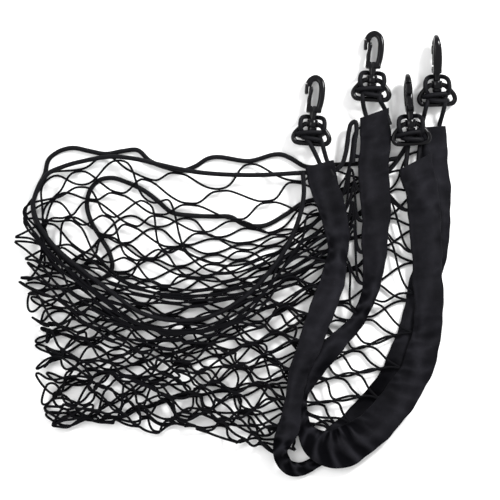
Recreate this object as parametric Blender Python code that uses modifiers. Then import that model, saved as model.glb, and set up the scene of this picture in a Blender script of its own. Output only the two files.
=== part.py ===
"""An elastic cargo net, folded in four and laid flat. Metres, with +Z up.

A fabric sleeve runs down each long side of a knotless net, and a thick elastic cord hems each of its
two open edges. The net is folded across its middle and once along it, so that it lies in four layers,
each sleeve bends round in a U, and all four sleeve ends lie side by side. A bungee loop comes out of
each sleeve end and carries a snap hook, whose ring holds a stem that swivels and whose gate is hinged.

Places are in millimetres on a layout sheet, seen from above: right of its left side, down from its
top, and up from the surface that the net lies on. spot() turns them into metres about the origin.
"""

import math

import bmesh
import bpy
import numpy as np
from mathutils import Matrix, Vector

MM = 0.001
SHEET_CENTRE = (237.0, 253.5)  # where the part's origin lies, right and down
SPAN_STEPS = 12  # steps between two chosen points of a smooth line
SHARP_EDGE = math.radians(50)
WELD = 0.00001  # metres
BORE_RUN_OUT = 1.0  # how far a bore's cutter runs past what it cuts

# Sleeves: a flattened tube, in columns right, down, up, width
SLEEVE_HALF_THICKNESS = 2.8
SLEEVE_SECTIONS = 40
SLEEVE_LINE_POINTS = 401  # on the finer line that the net is measured along
SLEEVE_A = (
    (318.5, 163.0, 16.2, 28.0),
    (321.7, 180.0, 16.2, 30.0),
    (329.0, 200.0, 16.2, 28.0),
    (336.5, 233.0, 16.2, 24.0),
    (337.5, 253.0, 16.2, 21.0),
    (332.0, 280.0, 16.2, 24.0),
    (325.0, 300.0, 16.2, 26.0),
    (313.5, 333.0, 16.2, 24.0),
    (300.0, 367.0, 16.8, 20.5),
    (293.0, 400.0, 17.4, 17.0),
    (286.5, 433.0, 17.5, 22.0),
    (280.0, 450.0, 13.6, 14.0),
    (284.0, 463.0, 9.0, 15.0),
    (295.0, 469.0, 5.0, 15.0),
    (307.0, 466.5, 3.2, 13.0),
    (318.0, 460.0, 2.8, 12.0),
    (325.0, 454.0, 2.8, 11.0),
    (335.0, 440.0, 2.8, 26.0),
    (352.0, 425.0, 2.8, 28.0),
    (370.0, 407.0, 2.8, 28.0),
    (386.0, 388.0, 2.8, 28.0),
    (398.0, 366.0, 2.8, 28.0),
    (408.0, 343.0, 2.8, 28.0),
    (418.0, 310.0, 2.8, 29.0),
    (425.0, 280.0, 2.8, 30.0),
    (434.0, 240.0, 2.8, 30.0),
    (435.5, 200.0, 2.8, 30.0),
    (433.5, 165.0, 2.8, 30.0),
    (431.0, 127.0, 2.8, 29.0),
)
SLEEVE_B = (
    (374.0, 112.0, 11.5, 30.0),
    (375.0, 135.0, 11.5, 30.0),
    (373.0, 165.0, 11.5, 31.0),
    (375.0, 200.0, 11.5, 30.0),
    (374.0, 250.0, 11.5, 25.0),
    (372.0, 275.0, 11.5, 20.0),
    (367.0, 300.0, 11.5, 16.0),
    (358.0, 318.0, 11.5, 14.0),
    (343.0, 335.0, 11.5, 18.0),
    (330.0, 350.0, 11.5, 20.0),
    (318.0, 365.0, 11.3, 18.0),
    (309.0, 380.0, 11.0, 14.0),
    (303.0, 395.0, 11.2, 11.0),
    (300.0, 408.0, 11.2, 15.0),
    (303.0, 424.0, 11.4, 14.0),
    (313.0, 440.0, 11.5, 28.0),
    (325.0, 447.0, 10.2, 36.0),
    (340.0, 447.0, 9.5, 40.0),
    (356.0, 440.0, 9.5, 38.0),
    (372.0, 428.0, 9.5, 36.0),
    (387.0, 412.0, 9.5, 34.0),
    (401.0, 395.0, 9.5, 34.0),
    (413.0, 375.0, 9.5, 32.0),
    (421.0, 355.0, 9.5, 31.0),
    (426.5, 333.0, 9.5, 29.0),
    (428.0, 305.0, 9.5, 29.0),
    (427.5, 280.0, 9.5, 29.5),
    (425.0, 240.0, 9.5, 31.0),
    (422.5, 200.0, 9.5, 33.0),
    (417.0, 175.0, 9.5, 33.0),
    (414.0, 151.5, 9.5, 34.0),
)
# The flattened tube's section, in half widths across and half thicknesses up, flat above and below
SLEEVE_PROFILE = (
    (1.0, 0.0),
    (0.92, 0.6),
    (0.5, 1.0),
    (-0.5, 1.0),
    (-0.92, 0.6),
    (-1.0, 0.0),
    (-0.92, -0.6),
    (-0.5, -1.0),
    (0.5, -1.0),
    (0.92, -0.6),
)

# Edge cords, in columns right, down, up: each from its sleeve A end to the fold, then to sleeve B
EDGE_CORD_RADIUS = 2.3
EDGE_CORD_POINTS = 39  # in each half
EDGE_1_TO_FOLD = (
    (302.6, 172.0, 15.6),
    (303.5, 195.0, 15.2),
    (290.0, 240.0, 15.2),
    (273.0, 267.0, 15.2),
    (240.0, 300.0, 15.2),
    (213.0, 315.0, 15.2),
    (187.0, 320.0, 15.2),
    (143.0, 313.0, 15.2),
    (110.0, 290.0, 15.2),
    (83.0, 270.0, 15.2),
    (50.0, 240.0, 15.2),
    (36.0, 215.0, 16.4),
    (34.0, 203.0, 16.4),
)
EDGE_1_FROM_FOLD = (
    (34.0, 203.0, 16.4),
    (40.0, 187.0, 15.8),
    (48.0, 175.0, 14.4),
    (64.0, 167.0, 12.0),
    (86.0, 161.0, 10.9),
    (112.0, 157.0, 10.9),
    (137.0, 159.5, 10.9),
    (160.0, 165.0, 10.9),
    (191.0, 171.5, 10.9),
    (250.0, 175.4, 10.9),
    (305.0, 173.0, 10.5),
    (332.0, 172.0, 10.4),
    (345.0, 158.0, 10.9),
    (355.0, 121.0, 11.5),
)
EDGE_2_TO_FOLD = (
    (413.2, 133.0, 2.3),
    (408.0, 143.0, 2.3),
    (400.0, 156.0, 2.3),
    (390.0, 169.0, 2.3),
    (375.0, 180.0, 2.3),
    (352.0, 190.0, 2.3),
    (328.0, 197.0, 2.3),
    (303.0, 203.0, 2.3),
    (285.0, 215.0, 2.3),
    (262.0, 226.0, 2.3),
    (243.0, 224.0, 2.3),
    (231.0, 217.0, 2.3),
    (215.0, 216.5, 2.3),
    (191.0, 215.5, 2.3),
    (171.0, 212.0, 2.3),
    (159.0, 202.0, 2.3),
    (143.0, 190.0, 2.3),
    (126.0, 182.0, 2.3),
    (112.0, 178.0, 2.3),
    (100.0, 180.0, 2.3),
    (91.0, 189.0, 2.3),
    (87.0, 204.0, 2.3),
    (90.0, 223.0, 2.3),
    (93.0, 242.0, 2.3),
    (84.0, 250.8, 2.3),
    (64.0, 249.9, 2.3),
)
EDGE_2_FROM_FOLD = (
    (64.0, 249.9, 2.3),
    (48.0, 241.0, 2.3),
    (37.0, 226.0, 2.3),
    (33.0, 206.0, 2.3),
    (38.0, 188.0, 2.3),
    (45.0, 174.0, 2.3),
    (49.0, 159.5, 2.3),
    (59.0, 151.5, 2.3),
    (72.0, 148.0, 2.3),
    (89.0, 151.0, 2.3),
    (105.0, 154.0, 2.3),
    (124.0, 151.0, 2.3),
    (137.0, 150.0, 2.3),
    (150.0, 161.0, 2.3),
    (166.0, 167.5, 2.3),
    (183.0, 170.6, 2.3),
    (196.0, 166.0, 2.3),
    (207.0, 159.0, 2.3),
    (250.0, 161.0, 2.3),
    (283.0, 155.0, 2.3),
    (290.0, 158.0, 2.3),
    (305.0, 166.5, 2.3),
    (332.0, 165.0, 2.3),
    (356.0, 163.8, 2.3),
    (372.0, 163.0, 2.4),
    (380.0, 162.2, 3.0),
    (386.0, 161.0, 4.8),
    (391.0, 159.5, 7.2),
    (396.6, 158.5, 9.0),
)

# Net: u runs along the sleeves, 0 at edge cord 1 and 1 at edge cord 2, and v from sleeve A to sleeve B
NET_ROWS = 32  # half cells along u
NET_COLUMNS = 14  # half cells along v
NET_THICKNESS = 2.4
JOINT_HALF_LENGTH = 4.6
JOINT_SHOULDER = 3.1
JOINT_HALF_HEIGHT = 1.9
JOINT_SHARE = 0.42  # the most that half a joint takes of a half column, where the net is drawn in
NET_SAMPLES = 57  # points worked out along each half of a row
SEAM_GAP = 0.6  # between a sleeve's edge and the net's joints
LAYERS_UP = ((15.0, 10.6), (1.2, 6.4))
FOLD_HALF_U = 0.045  # half of what the fold across the net takes
FOLD_HALF_V = 0.04
SELVEDGE_FADE = 0.14  # how far in v the rows bend to meet a sleeve
# Rows of the net, right and down: on sleeve A's side, at the fold, and on sleeve B's side
NET_STATIONS = (
    {
        "to_fold": (
            (296.0, 246.0),
            (279.0, 272.0),
            (246.0, 306.0),
            (216.0, 322.0),
            (187.0, 327.5),
            (140.0, 320.5),
            (104.0, 296.5),
            (77.0, 276.0),
            (43.0, 247.0),
        ),
        "fold": (26.5, 208.0),
        "from_fold": (
            (47.0, 193.0),
            (66.0, 174.5),
            (87.0, 168.0),
            (112.0, 164.0),
            (137.0, 166.5),
            (160.0, 172.0),
            (191.0, 178.5),
            (250.0, 182.5),
            (305.0, 180.5),
            (330.0, 179.0),
        ),
    },
    {
        "to_fold": (
            (290.0, 262.0),
            (248.0, 310.0),
            (193.0, 331.5),
            (138.0, 325.0),
            (103.0, 301.0),
            (62.0, 265.0),
        ),
        "fold": (20.0, 225.0),
        "from_fold": ((165.0, 206.0),),
    },
    {"to_fold": ((190.0, 342.0),), "fold": (24.0, 275.0), "from_fold": ((170.0, 252.0),)},
    {"to_fold": ((187.0, 362.0),), "fold": (36.0, 330.0), "from_fold": ((172.0, 302.0),)},
    {"to_fold": ((183.0, 394.0),), "fold": (42.0, 382.0), "from_fold": ((176.0, 358.0),)},
    {"to_fold": ((178.0, 436.0),), "fold": (62.0, 427.0), "from_fold": ((176.0, 421.0),)},
    {"to_fold": ((180.0, 388.0),), "fold": (50.0, 398.0), "from_fold": ((176.0, 358.0),)},
    {"to_fold": ((182.0, 345.0),), "fold": (41.0, 352.0), "from_fold": ((172.0, 302.0),)},
    {"to_fold": ((180.0, 305.0),), "fold": (34.0, 308.0), "from_fold": ((170.0, 252.0),)},
    {"to_fold": ((180.0, 262.0),), "fold": (46.0, 290.0), "from_fold": ((165.0, 206.0),)},
    {
        "to_fold": (
            (392.0, 177.0),
            (353.0, 197.0),
            (305.0, 210.0),
            (286.0, 223.0),
            (262.0, 234.0),
            (240.0, 232.0),
            (215.0, 224.0),
            (171.0, 220.0),
            (140.0, 200.0),
            (112.0, 187.0),
            (105.0, 208.0),
            (108.0, 245.0),
            (100.0, 268.0),
        ),
        "fold": (75.0, 284.0),
        "from_fold": (
            (46.0, 226.0),
            (41.0, 207.0),
            (45.0, 190.0),
            (56.0, 164.0),
            (72.0, 156.0),
            (105.0, 162.0),
            (137.0, 160.0),
            (166.0, 176.0),
            (195.0, 177.0),
            (250.0, 169.0),
            (283.0, 165.0),
            (305.0, 173.5),
            (332.0, 172.0),
            (372.0, 171.0),
        ),
    },
)
# Where the net meets each sleeve, in columns u, share of the sleeve's length, side of its run and
# up; the run's right is sleeve A's outer side
SEAM_A = (
    (0.0, 0.063, 1.0, 15.4),
    (0.44, 0.395, 1.0, 15.4),
    (0.56, 0.52, -1.0, 2.4),
    (1.0, 0.966, -1.0, 2.4),
)
SEAM_B = (
    (0.0, 0.083, 1.0, 11.2),
    (0.44, 0.394, 1.0, 10.8),
    (0.56, 0.487, -1.0, 7.1),
    (1.0, 0.976, -1.0, 7.1),
)
SEAM_A_AT_FOLD = (281.0, 444.0, 6.5)
SEAM_B_AT_FOLD = (290.0, 428.0, 6.0)
# Joints that are left out, in half rows and half columns, because the net isn't fastened there
LOOSE_JOINTS = ((16, 0), (16, 14), (32, 6), (32, 8))

# Snap hooks, each in its own millimetres: +Y towards the arch, the stem on the Y axis
RING_BAR_RADIUS = 2.5
RING_ROUTE = (
    (3.0, -8.0),
    (8.0, -9.4),
    (13.5, -14.6),
    (17.0, -19.5),
    (17.8, -23.5),
    (15.6, -27.0),
    (11.5, -28.0),
)
RING_POINTS = 21
BOSS_RADIUS = 5.5
BOSS_BORE_RADIUS = 3.5
BOSS_ENDS = (-12.0, -4.3)
ROUND_SIDES = 12
# The turned stem, in columns radius, along
STEM_PROFILE = (
    (0.0, 5.0),
    (3.6, 5.0),
    (3.6, -3.9),
    (3.1, -3.9),
    (3.1, -12.4),
    (4.7, -12.4),
    (4.7, -15.2),
    (3.4, -16.5),
    (0.0, -16.5),
)
# The hook's bar, in columns across, along, half width, half depth
BAR_ROUTE = (
    (4.8, 5.0, 3.0, 4.0),
    (6.6, 14.0, 3.2, 4.5),
    (7.25, 24.0, 3.25, 4.4),
    (6.9, 30.4, 3.25, 3.9),
    (4.6, 35.8, 3.2, 3.1),
    (0.1, 38.2, 3.2, 2.6),
    (-4.6, 35.8, 3.2, 3.0),
    (-6.8, 31.0, 3.3, 3.5),
    (-7.1, 25.5, 3.3, 3.7),
    (-7.0, 20.8, 3.1, 3.6),
)
BAR_POINTS = 19
ROOT_BOX = ((-6.5, 3.0, -4.0), (8.0, 9.5, 4.0))
SLOT_BOX = ((-9.0, 3.8, -2.4), (-1.5, 11.0, 2.4))
NOTCH_BOX = ((-6.4, 19.0, -6.0), (-2.0, 29.4, 6.0))
PIN_PLACE = (-4.9, 6.5)
PIN_RADIUS = 1.1
PIN_HALF_LENGTH = 3.9
GATE_BORE_RADIUS = 1.45
# Outlines of the gate about its pin: the part above the fork, and the tongue in it
GATE_BODY = ((-2.1, 4.1), (2.1, 4.1), (3.0, 21.6), (2.0, 22.6), (-1.2, 22.6), (-1.2, 13.0), (-2.1, 11.0))
GATE_BODY_HALF_DEPTH = 3.5
GATE_TONGUE = ((-2.1, 0.0), (-1.5, -1.5), (0.0, -2.1), (1.5, -1.5), (2.1, 0.0), (2.1, 5.0), (-2.1, 5.0))
GATE_TONGUE_HALF_DEPTH = 2.0
EDGE_ROUNDING = 0.7

# Bungee loops, in the hook's millimetres, from over the ring's bar to behind the stem, in columns
# across (away from the stem), along, up
BUNGEE_RADIUS = 2.3
BUNGEE_POINTS = 32
BUNGEE_KNOT = ((8.4, -20.0, 1.8), (11.9, -12.0, 6.1), (11.2, -4.2, 3.3), (6.3, -0.8, -3.9))
BUNGEE_BEHIND = (0.0, -0.8, -6.5)

# Each hook's place: right, down, up of its own zero, heading to the right, pitch of the arch upwards
# and swivel in degrees, then where its two bungee legs cross the ring's bar (across, along, up) and
# where they leave the sleeve (right, down, up)
HOOKS = (
    {
        "origin": (312.8, 116.2, 9.1),
        "heading": 4.4,
        "pitch": -6.0,
        "swivel": 0.0,
        "over_bar": ((-2.0, -28.0, 5.9), (11.0, -28.0, 5.9)),
        "mouth": ((318.3, 161.7, 16.2), (326.3, 160.6, 16.2)),
    },
    {
        "origin": (372.0, 72.2, 9.1),
        "heading": 3.5,
        "pitch": -5.0,
        "swivel": 0.0,
        "over_bar": ((-8.5, -28.0, 5.9), (8.5, -28.0, 5.9)),
        "mouth": ((364.0, 111.0, 11.5), (384.0, 109.4, 11.5)),
    },
    {
        "origin": (409.1, 116.0, 14.3),
        "heading": -3.5,
        "pitch": 0.0,
        "swivel": 90.0,
        "over_bar": ((-3.0, -27.0, -6.0), (9.0, -27.0, -6.0)),
        "mouth": ((407.0, 150.5, 9.4), (419.0, 149.1, 9.4)),
    },
    {
        "origin": (436.0, 77.0, 10.5),
        "heading": -1.5,
        "pitch": 8.0,
        "swivel": -84.0,
        "over_bar": ((-11.0, -28.0, 5.9), (7.0, -28.0, 5.9)),
        "mouth": ((421.5, 125.8, 2.8), (439.5, 124.6, 2.8)),
    },
)

FABRIC = {"colour": (0.020, 0.020, 0.024), "roughness": 0.85, "metallic": 0.0}
ELASTIC = {"colour": (0.012, 0.012, 0.014), "roughness": 0.7, "metallic": 0.0}
MOULDED = {"colour": (0.016, 0.016, 0.018), "roughness": 0.38, "metallic": 0.0}


def spot(place):
    """The layout sheet's right, down and up, in millimetres, as the part's x, y and z in metres."""
    place = np.asarray(place, float)
    offset = place[..., :3] * (MM, -MM, MM)
    return offset + (-SHEET_CENTRE[0] * MM, SHEET_CENTRE[1] * MM, 0.0)


def smooth_line(chosen, count):
    """Evenly spaced points of a smooth curve through chosen points.

    Each span is a cubic whose slope at a chosen point is the mean of its neighbours' slopes, the
    nearer one counting more. Columns past the third, such as a width, are carried along.
    """
    chosen = np.asarray(chosen, float)
    chords = np.linalg.norm(np.diff(chosen[:, :3], axis=0), axis=1)[:, None]
    slopes = np.diff(chosen, axis=0) / chords
    middle = (slopes[:-1] * chords[1:] + slopes[1:] * chords[:-1]) / (chords[1:] + chords[:-1])
    slopes = np.vstack([slopes[:1], middle, slopes[-1:]])
    step = np.linspace(0.0, 1.0, SPAN_STEPS, endpoint=False)[None, :, None]
    start, end = chosen[:-1, None], chosen[1:, None]
    leave, arrive = (slopes[:-1] * chords)[:, None], (slopes[1:] * chords)[:, None]
    spans = (
        start * (2 * step**3 - 3 * step**2 + 1)
        + leave * (step**3 - 2 * step**2 + step)
        + end * (3 * step**2 - 2 * step**3)
        + arrive * (step**3 - step**2)
    )
    dense = np.vstack([spans.reshape(-1, chosen.shape[1]), chosen[-1:]])
    travelled = np.concatenate([[0.0], np.linalg.norm(np.diff(dense[:, :3], axis=0), axis=1).cumsum()])
    wanted = np.linspace(0.0, travelled[-1], count)
    return np.column_stack([np.interp(wanted, travelled, column) for column in dense.T])


def smooth_step(value):
    """0 below 0, 1 above 1, and an even S between."""
    value = np.clip(value, 0.0, 1.0)
    return value * value * (3.0 - 2.0 * value)


def across(line):
    """Unit vectors square to a line on the layout sheet, to the right of its run as seen from above."""
    run = np.gradient(line[:, :2], axis=0)
    run /= np.linalg.norm(run, axis=1)[:, None]
    return np.column_stack([-run[:, 1], run[:, 0]])


# Helpers that put a shape in the scene


def material_of(name, finish):
    material = bpy.data.materials.new(name)
    material.use_nodes = True
    shader = material.node_tree.nodes["Principled BSDF"]
    shader.inputs["Base Color"].default_value = (*finish["colour"], 1.0)
    shader.inputs["Roughness"].default_value = finish["roughness"]
    shader.inputs["Metallic"].default_value = finish["metallic"]
    return material


def add_object(name, data, collection, finish=None):
    thing = bpy.data.objects.new(name, data)
    collection.objects.link(thing)
    if finish:
        data.materials.append(material_of(name, finish))
    return thing


def add_mesh(name, points, faces, collection, finish=None):
    mesh = bpy.data.meshes.new(name)
    mesh.from_pydata([tuple(point) for point in points], [], [tuple(face) for face in faces])
    mesh.shade_smooth()
    mesh.set_sharp_from_angle(angle=SHARP_EDGE)
    return add_object(name, mesh, collection, finish)


def add_tube(name, points, radius, collection, finish=None, radii=None):
    """A round cord or bar along points that are in metres, with capped ends."""
    curve = bpy.data.curves.new(name, "CURVE")
    curve.dimensions = "3D"
    curve.bevel_depth = radius * MM
    curve.bevel_resolution = 2
    curve.use_fill_caps = True
    spline = curve.splines.new("POLY")
    spline.points.add(len(points) - 1)
    for index, point in enumerate(points):
        spline.points[index].co = (*point, 1.0)
        spline.points[index].radius = radii[index] if radii is not None else 1.0
    return add_object(name, curve, collection, finish)


def as_mesh(curve_object, collection, finish=None):
    """The same shape as a closed mesh, which can take a Boolean; the curve goes."""
    graph = bpy.context.evaluated_depsgraph_get()
    mesh = bpy.data.meshes.new_from_object(curve_object.evaluated_get(graph))
    shape = bmesh.new()
    shape.from_mesh(mesh)
    bmesh.ops.remove_doubles(shape, verts=shape.verts, dist=WELD)
    shape.to_mesh(mesh)
    shape.free()
    mesh.materials.clear()
    name = curve_object.name
    place = curve_object.matrix_world.copy()
    bpy.data.objects.remove(curve_object)
    mesh.shade_smooth()
    mesh.set_sharp_from_angle(angle=SHARP_EDGE)
    thing = add_object(name, mesh, collection, finish)
    thing.matrix_world = place
    return thing


def hide_tool(thing):
    thing.hide_render = True
    thing.display_type = "WIRE"


def add_box(name, corners, collection, rounding=0.0):
    """A box between two opposite corners in the hook's millimetres."""
    low, high = (np.asarray(corner, float) * MM for corner in corners)
    shape = bmesh.new()
    bmesh.ops.create_cube(shape, size=1.0)
    bmesh.ops.scale(shape, vec=Vector(high - low), verts=shape.verts)
    bmesh.ops.translate(shape, vec=Vector((high + low) / 2), verts=shape.verts)
    if rounding:
        bmesh.ops.bevel(shape, geom=shape.edges, offset=rounding * MM, segments=1, affect="EDGES")
    mesh = bpy.data.meshes.new(name)
    shape.to_mesh(mesh)
    shape.free()
    return add_object(name, mesh, collection)


def add_rod(name, radius, low, high, axis, place, collection):
    """A cylinder along "Y" or "Z" between two heights, through a place in the plane square to it."""
    shape = bmesh.new()
    bmesh.ops.create_cone(
        shape,
        cap_ends=True,
        segments=ROUND_SIDES,
        radius1=radius * MM,
        radius2=radius * MM,
        depth=(high - low) * MM,
    )
    middle = (high + low) / 2
    if axis == "Y":
        bmesh.ops.rotate(shape, verts=shape.verts, matrix=Matrix.Rotation(math.radians(-90), 3, "X"))
        centre = Vector((place[0], middle, place[1]))
    else:
        centre = Vector((place[0], place[1], middle))
    bmesh.ops.translate(shape, vec=centre * MM, verts=shape.verts)
    mesh = bpy.data.meshes.new(name)
    shape.to_mesh(mesh)
    shape.free()
    return add_object(name, mesh, collection)


def add_plate(name, outline, half_depth, collection):
    """A flat outline in the hook's millimetres, half_depth thick to either side."""
    curve = bpy.data.curves.new(name, "CURVE")
    curve.dimensions = "2D"
    curve.fill_mode = "BOTH"
    curve.extrude = half_depth * MM
    spline = curve.splines.new("POLY")
    spline.points.add(len(outline) - 1)
    spline.use_cyclic_u = True
    for point, (right, along) in zip(spline.points, outline):
        point.co = (right * MM, along * MM, 0.0, 1.0)
    return as_mesh(add_object(name, curve, collection), collection)


def add_boolean(thing, tool, operation):
    modifier = thing.modifiers.new(tool.name, "BOOLEAN")
    modifier.operation = operation
    modifier.solver = "EXACT"
    modifier.object = tool
    hide_tool(tool)


# Sleeves


def sleeve_line(chosen):
    return smooth_line(chosen, SLEEVE_LINE_POINTS)


def build_sleeve(name, chosen, collection):
    """A flattened fabric tube: one section carried along its line, as wide as the line says."""
    line = smooth_line(chosen, SLEEVE_SECTIONS)
    sides = across(line)
    profile = np.asarray(SLEEVE_PROFILE)
    reach = profile[None, :, 0] * line[:, 3, None] / 2
    places = np.empty((len(line), len(profile), 3))
    places[:, :, :2] = line[:, None, :2] + reach[:, :, None] * sides[:, None, :]
    places[:, :, 2] = line[:, 2, None] + profile[None, :, 1] * SLEEVE_HALF_THICKNESS
    count = len(profile)
    index = np.arange(len(line) * count).reshape(len(line), count)
    here, there = index[:-1], index[1:]
    walls = np.stack([here, there, np.roll(there, -1, axis=1), np.roll(here, -1, axis=1)], axis=-1)
    faces = [*walls.reshape(-1, 4).tolist(), index[0].tolist(), index[-1][::-1].tolist()]
    add_mesh(name, spot(places.reshape(-1, 3)), faces, collection, FABRIC)


# Edge cords


def edge_cord_line(to_fold, from_fold, count):
    """Both halves of an edge cord, each evenly spaced, as one run."""
    halves = smooth_line(to_fold, count), smooth_line(from_fold, count)
    return np.vstack([halves[0][:-1], halves[1]])


# Net


def seam_places(u, sleeve, seam, at_fold):
    """Where the rows at u end, beside a sleeve's edge and clear of it by a joint's length."""
    line = sleeve_line(sleeve)
    sides = across(line)
    seam = np.asarray(seam)
    share = np.interp(u, seam[:, 0], seam[:, 1]) * (len(line) - 1)
    side = np.where(u < 0.5, seam[0, 2], seam[-1, 2])
    station = np.arange(len(line))
    middle = np.column_stack([np.interp(share, station, column) for column in line.T])
    normal = np.column_stack([np.interp(share, station, column) for column in sides.T])
    reach = side * (middle[:, 3] / 2 + JOINT_HALF_LENGTH + SEAM_GAP)
    places = middle[:, :3].copy()
    places[:, :2] += reach[:, None] * normal
    places[:, 2] = np.interp(u, seam[:, 0], seam[:, 3])
    away = np.clip(np.abs(u - 0.5) / (0.5 - seam[1, 0]), 0.0, 1.0)[:, None]
    return np.where(away < 1.0, np.asarray(at_fold) * (1 - away) + places * away, places)


def layer_up(u, v):
    """How high the net lies: four flat layers, joined by an S at each fold."""
    along = smooth_step((u - 0.5) / (2 * FOLD_HALF_U) + 0.5)
    over = smooth_step((v - 0.5) / (2 * FOLD_HALF_V) + 0.5)
    (first_a, first_b), (last_a, last_b) = LAYERS_UP
    first = first_a * (1 - over) + first_b * over
    last = last_a * (1 - over) + last_b * over
    return first * (1 - along) + last * along


class NetMap:
    """The folded net as a surface: at(u, v) gives places on the layout sheet.

    Rows are smooth curves from sleeve A through the fold to sleeve B, one at each station of u. Between
    stations a place is a cubic blend (Catmull-Rom) of the four nearest rows. The height is that of the
    layer. Close to a sleeve the rows bend, and rise or sink, to end on its seam.
    """

    def __init__(self):
        self.u = np.linspace(0.0, 1.0, len(NET_STATIONS))
        rows = []
        for u, station, start, end in zip(self.u, NET_STATIONS, *self.ends(self.u)):
            first, last = (float(layer_up(u, v)) for v in (0.25, 0.75))
            fold = (*station["fold"], float(layer_up(u, 0.5)))
            to_fold = [start, *[(*place, first) for place in station["to_fold"]], fold]
            from_fold = [fold, *[(*place, last) for place in station["from_fold"]], end]
            halves = smooth_line(to_fold, NET_SAMPLES), smooth_line(from_fold, NET_SAMPLES)
            rows.append(np.vstack([halves[0][:-1], halves[1]]))
        self.rows = np.stack(rows)
        self.v = np.linspace(0.0, 1.0, self.rows.shape[1])

    def ends(self, u):
        return (
            seam_places(u, SLEEVE_A, SEAM_A, SEAM_A_AT_FOLD),
            seam_places(u, SLEEVE_B, SEAM_B, SEAM_B_AT_FOLD),
        )

    def row_blend(self, u, v):
        """The cubic blend of the rows, for flat arrays u and v."""
        before = 2 * self.rows[:1] - self.rows[1:2]
        after = 2 * self.rows[-1:] - self.rows[-2:-1]
        padded = np.concatenate([before, self.rows, after])
        scaled = np.clip(u * (len(self.u) - 1), 0.0, len(self.u) - 1 - 1e-9)
        base = scaled.astype(int)
        part = (scaled - base)[:, None]
        place = v * (len(self.v) - 1)
        left = np.clip(place.astype(int), 0, len(self.v) - 2)
        share = (place - left)[:, None]
        near = []
        for row in range(4):
            near.append(padded[base + row, left] * (1 - share) + padded[base + row, left + 1] * share)
        return 0.5 * (
            2 * near[1]
            + (near[2] - near[0]) * part
            + (2 * near[0] - 5 * near[1] + 4 * near[2] - near[3]) * part**2
            + (3 * near[1] - near[0] - 3 * near[2] + near[3]) * part**3
        )

    def at(self, u, v):
        shape = np.broadcast(u, v).shape
        u = np.clip(np.broadcast_to(u, shape).ravel().astype(float), 0.0, 1.0)
        v = np.clip(np.broadcast_to(v, shape).ravel().astype(float), 0.0, 1.0)
        places = self.row_blend(u, v)
        places[:, 2] = layer_up(u, v)
        for edge, side, ends in zip((v, 1 - v), (0.0, 1.0), self.ends(u)):
            start = self.row_blend(u, np.full_like(u, side))
            start[:, 2] = layer_up(u, np.full_like(u, side))
            places += (ends - start) * smooth_step(1 - edge / SELVEDGE_FADE)[:, None]
        return places.reshape(*shape, 3)


def unit(vectors):
    return vectors / np.maximum(np.linalg.norm(vectors, axis=-1, keepdims=True), 1e-9)


def build_net(collection):
    """Joints at every second crossing of half rows and half columns, and strands slanting between.

    A joint is a flat six-sided plate, pointed towards both sleeves. A strand joins a slanted side of
    one joint to that of the next, so each cell is a long hexagon. Solidify gives the sheet its body.
    """
    net = NetMap()
    rows, columns = np.meshgrid(np.arange(NET_ROWS + 1), np.arange(NET_COLUMNS + 1), indexing="ij")
    u, v = rows / NET_ROWS, columns / NET_COLUMNS
    middle = net.at(u, v)
    reach_v, reach_u = 0.5 / NET_COLUMNS, 0.5 / NET_ROWS
    chord = net.at(u, v + reach_v) - net.at(u, v - reach_v)
    room = np.linalg.norm(chord, axis=-1, keepdims=True)
    half_length = np.minimum(JOINT_HALF_LENGTH, room * JOINT_SHARE)
    lengthwise = unit(chord)
    sideways = net.at(u + reach_u, v) - net.at(u - reach_u, v)
    sideways = unit(sideways - (sideways * lengthwise).sum(-1, keepdims=True) * lengthwise)
    tip = lengthwise * half_length
    shoulder = tip * (JOINT_SHOULDER / JOINT_HALF_LENGTH)
    rise = sideways * JOINT_HALF_HEIGHT
    corners = [middle - tip, middle - shoulder - rise, middle + shoulder - rise]
    corners += [middle + tip, middle + shoulder + rise, middle - shoulder + rise]
    corners = np.stack(corners, axis=2)
    left, top_left, top_right, right, bottom_right, bottom_left = range(6)
    here = (rows + columns) % 2 == 0
    here[tuple(np.transpose(LOOSE_JOINTS))] = False
    number = np.full(here.shape, -1)
    number[here] = np.arange(here.sum())
    faces = [[6 * joint + corner for corner in range(6)] for joint in number[here]]
    for row, column in np.argwhere(here):
        joint = 6 * number[row, column]
        if column == NET_COLUMNS:
            continue
        if row < NET_ROWS and here[row + 1, column + 1]:
            below = 6 * number[row + 1, column + 1]
            faces.append([joint + bottom_right, joint + right, below + top_left, below + left])
        if row > 0 and here[row - 1, column + 1]:
            above = 6 * number[row - 1, column + 1]
            faces.append([joint + right, joint + top_right, above + left, above + bottom_left])
    thing = add_mesh("net", spot(corners[here].reshape(-1, 3)), faces, collection, ELASTIC)
    body = thing.modifiers.new("body", "SOLIDIFY")
    body.thickness = NET_THICKNESS * MM
    body.offset = 0.0


# Snap hooks


def placed(hook):
    """The hook's own frame, in metres, from its row in the table."""
    turn = Matrix.Rotation(math.radians(-hook["heading"]), 4, "Z")
    tilt = Matrix.Rotation(math.radians(hook["pitch"]), 4, "X")
    return Matrix.Translation(spot(hook["origin"])) @ turn @ tilt


def build_ring(name, frame, collection, tools):
    """A rounded triangle of round bar, whose ends meet in the boss that holds the stem."""
    side = smooth_line([(x, y, 0.0) for x, y in RING_ROUTE], RING_POINTS // 2 + 1)
    route = np.vstack([side, side[::-1] * (-1, 1, 1)]) * MM
    ring = as_mesh(add_tube(name, route, RING_BAR_RADIUS, collection), collection, MOULDED)
    boss = add_rod(f"{name}_boss", BOSS_RADIUS, *BOSS_ENDS, "Y", (0.0, 0.0), tools)
    low, high = BOSS_ENDS
    ends = low - BORE_RUN_OUT, high + BORE_RUN_OUT
    bore = add_rod(f"{name}_bore", BOSS_BORE_RADIUS, *ends, "Y", (0.0, 0.0), tools)
    for tool, operation in ((boss, "UNION"), (bore, "DIFFERENCE")):
        add_boolean(ring, tool, operation)
        tool.matrix_world = frame
    ring.matrix_world = frame


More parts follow.
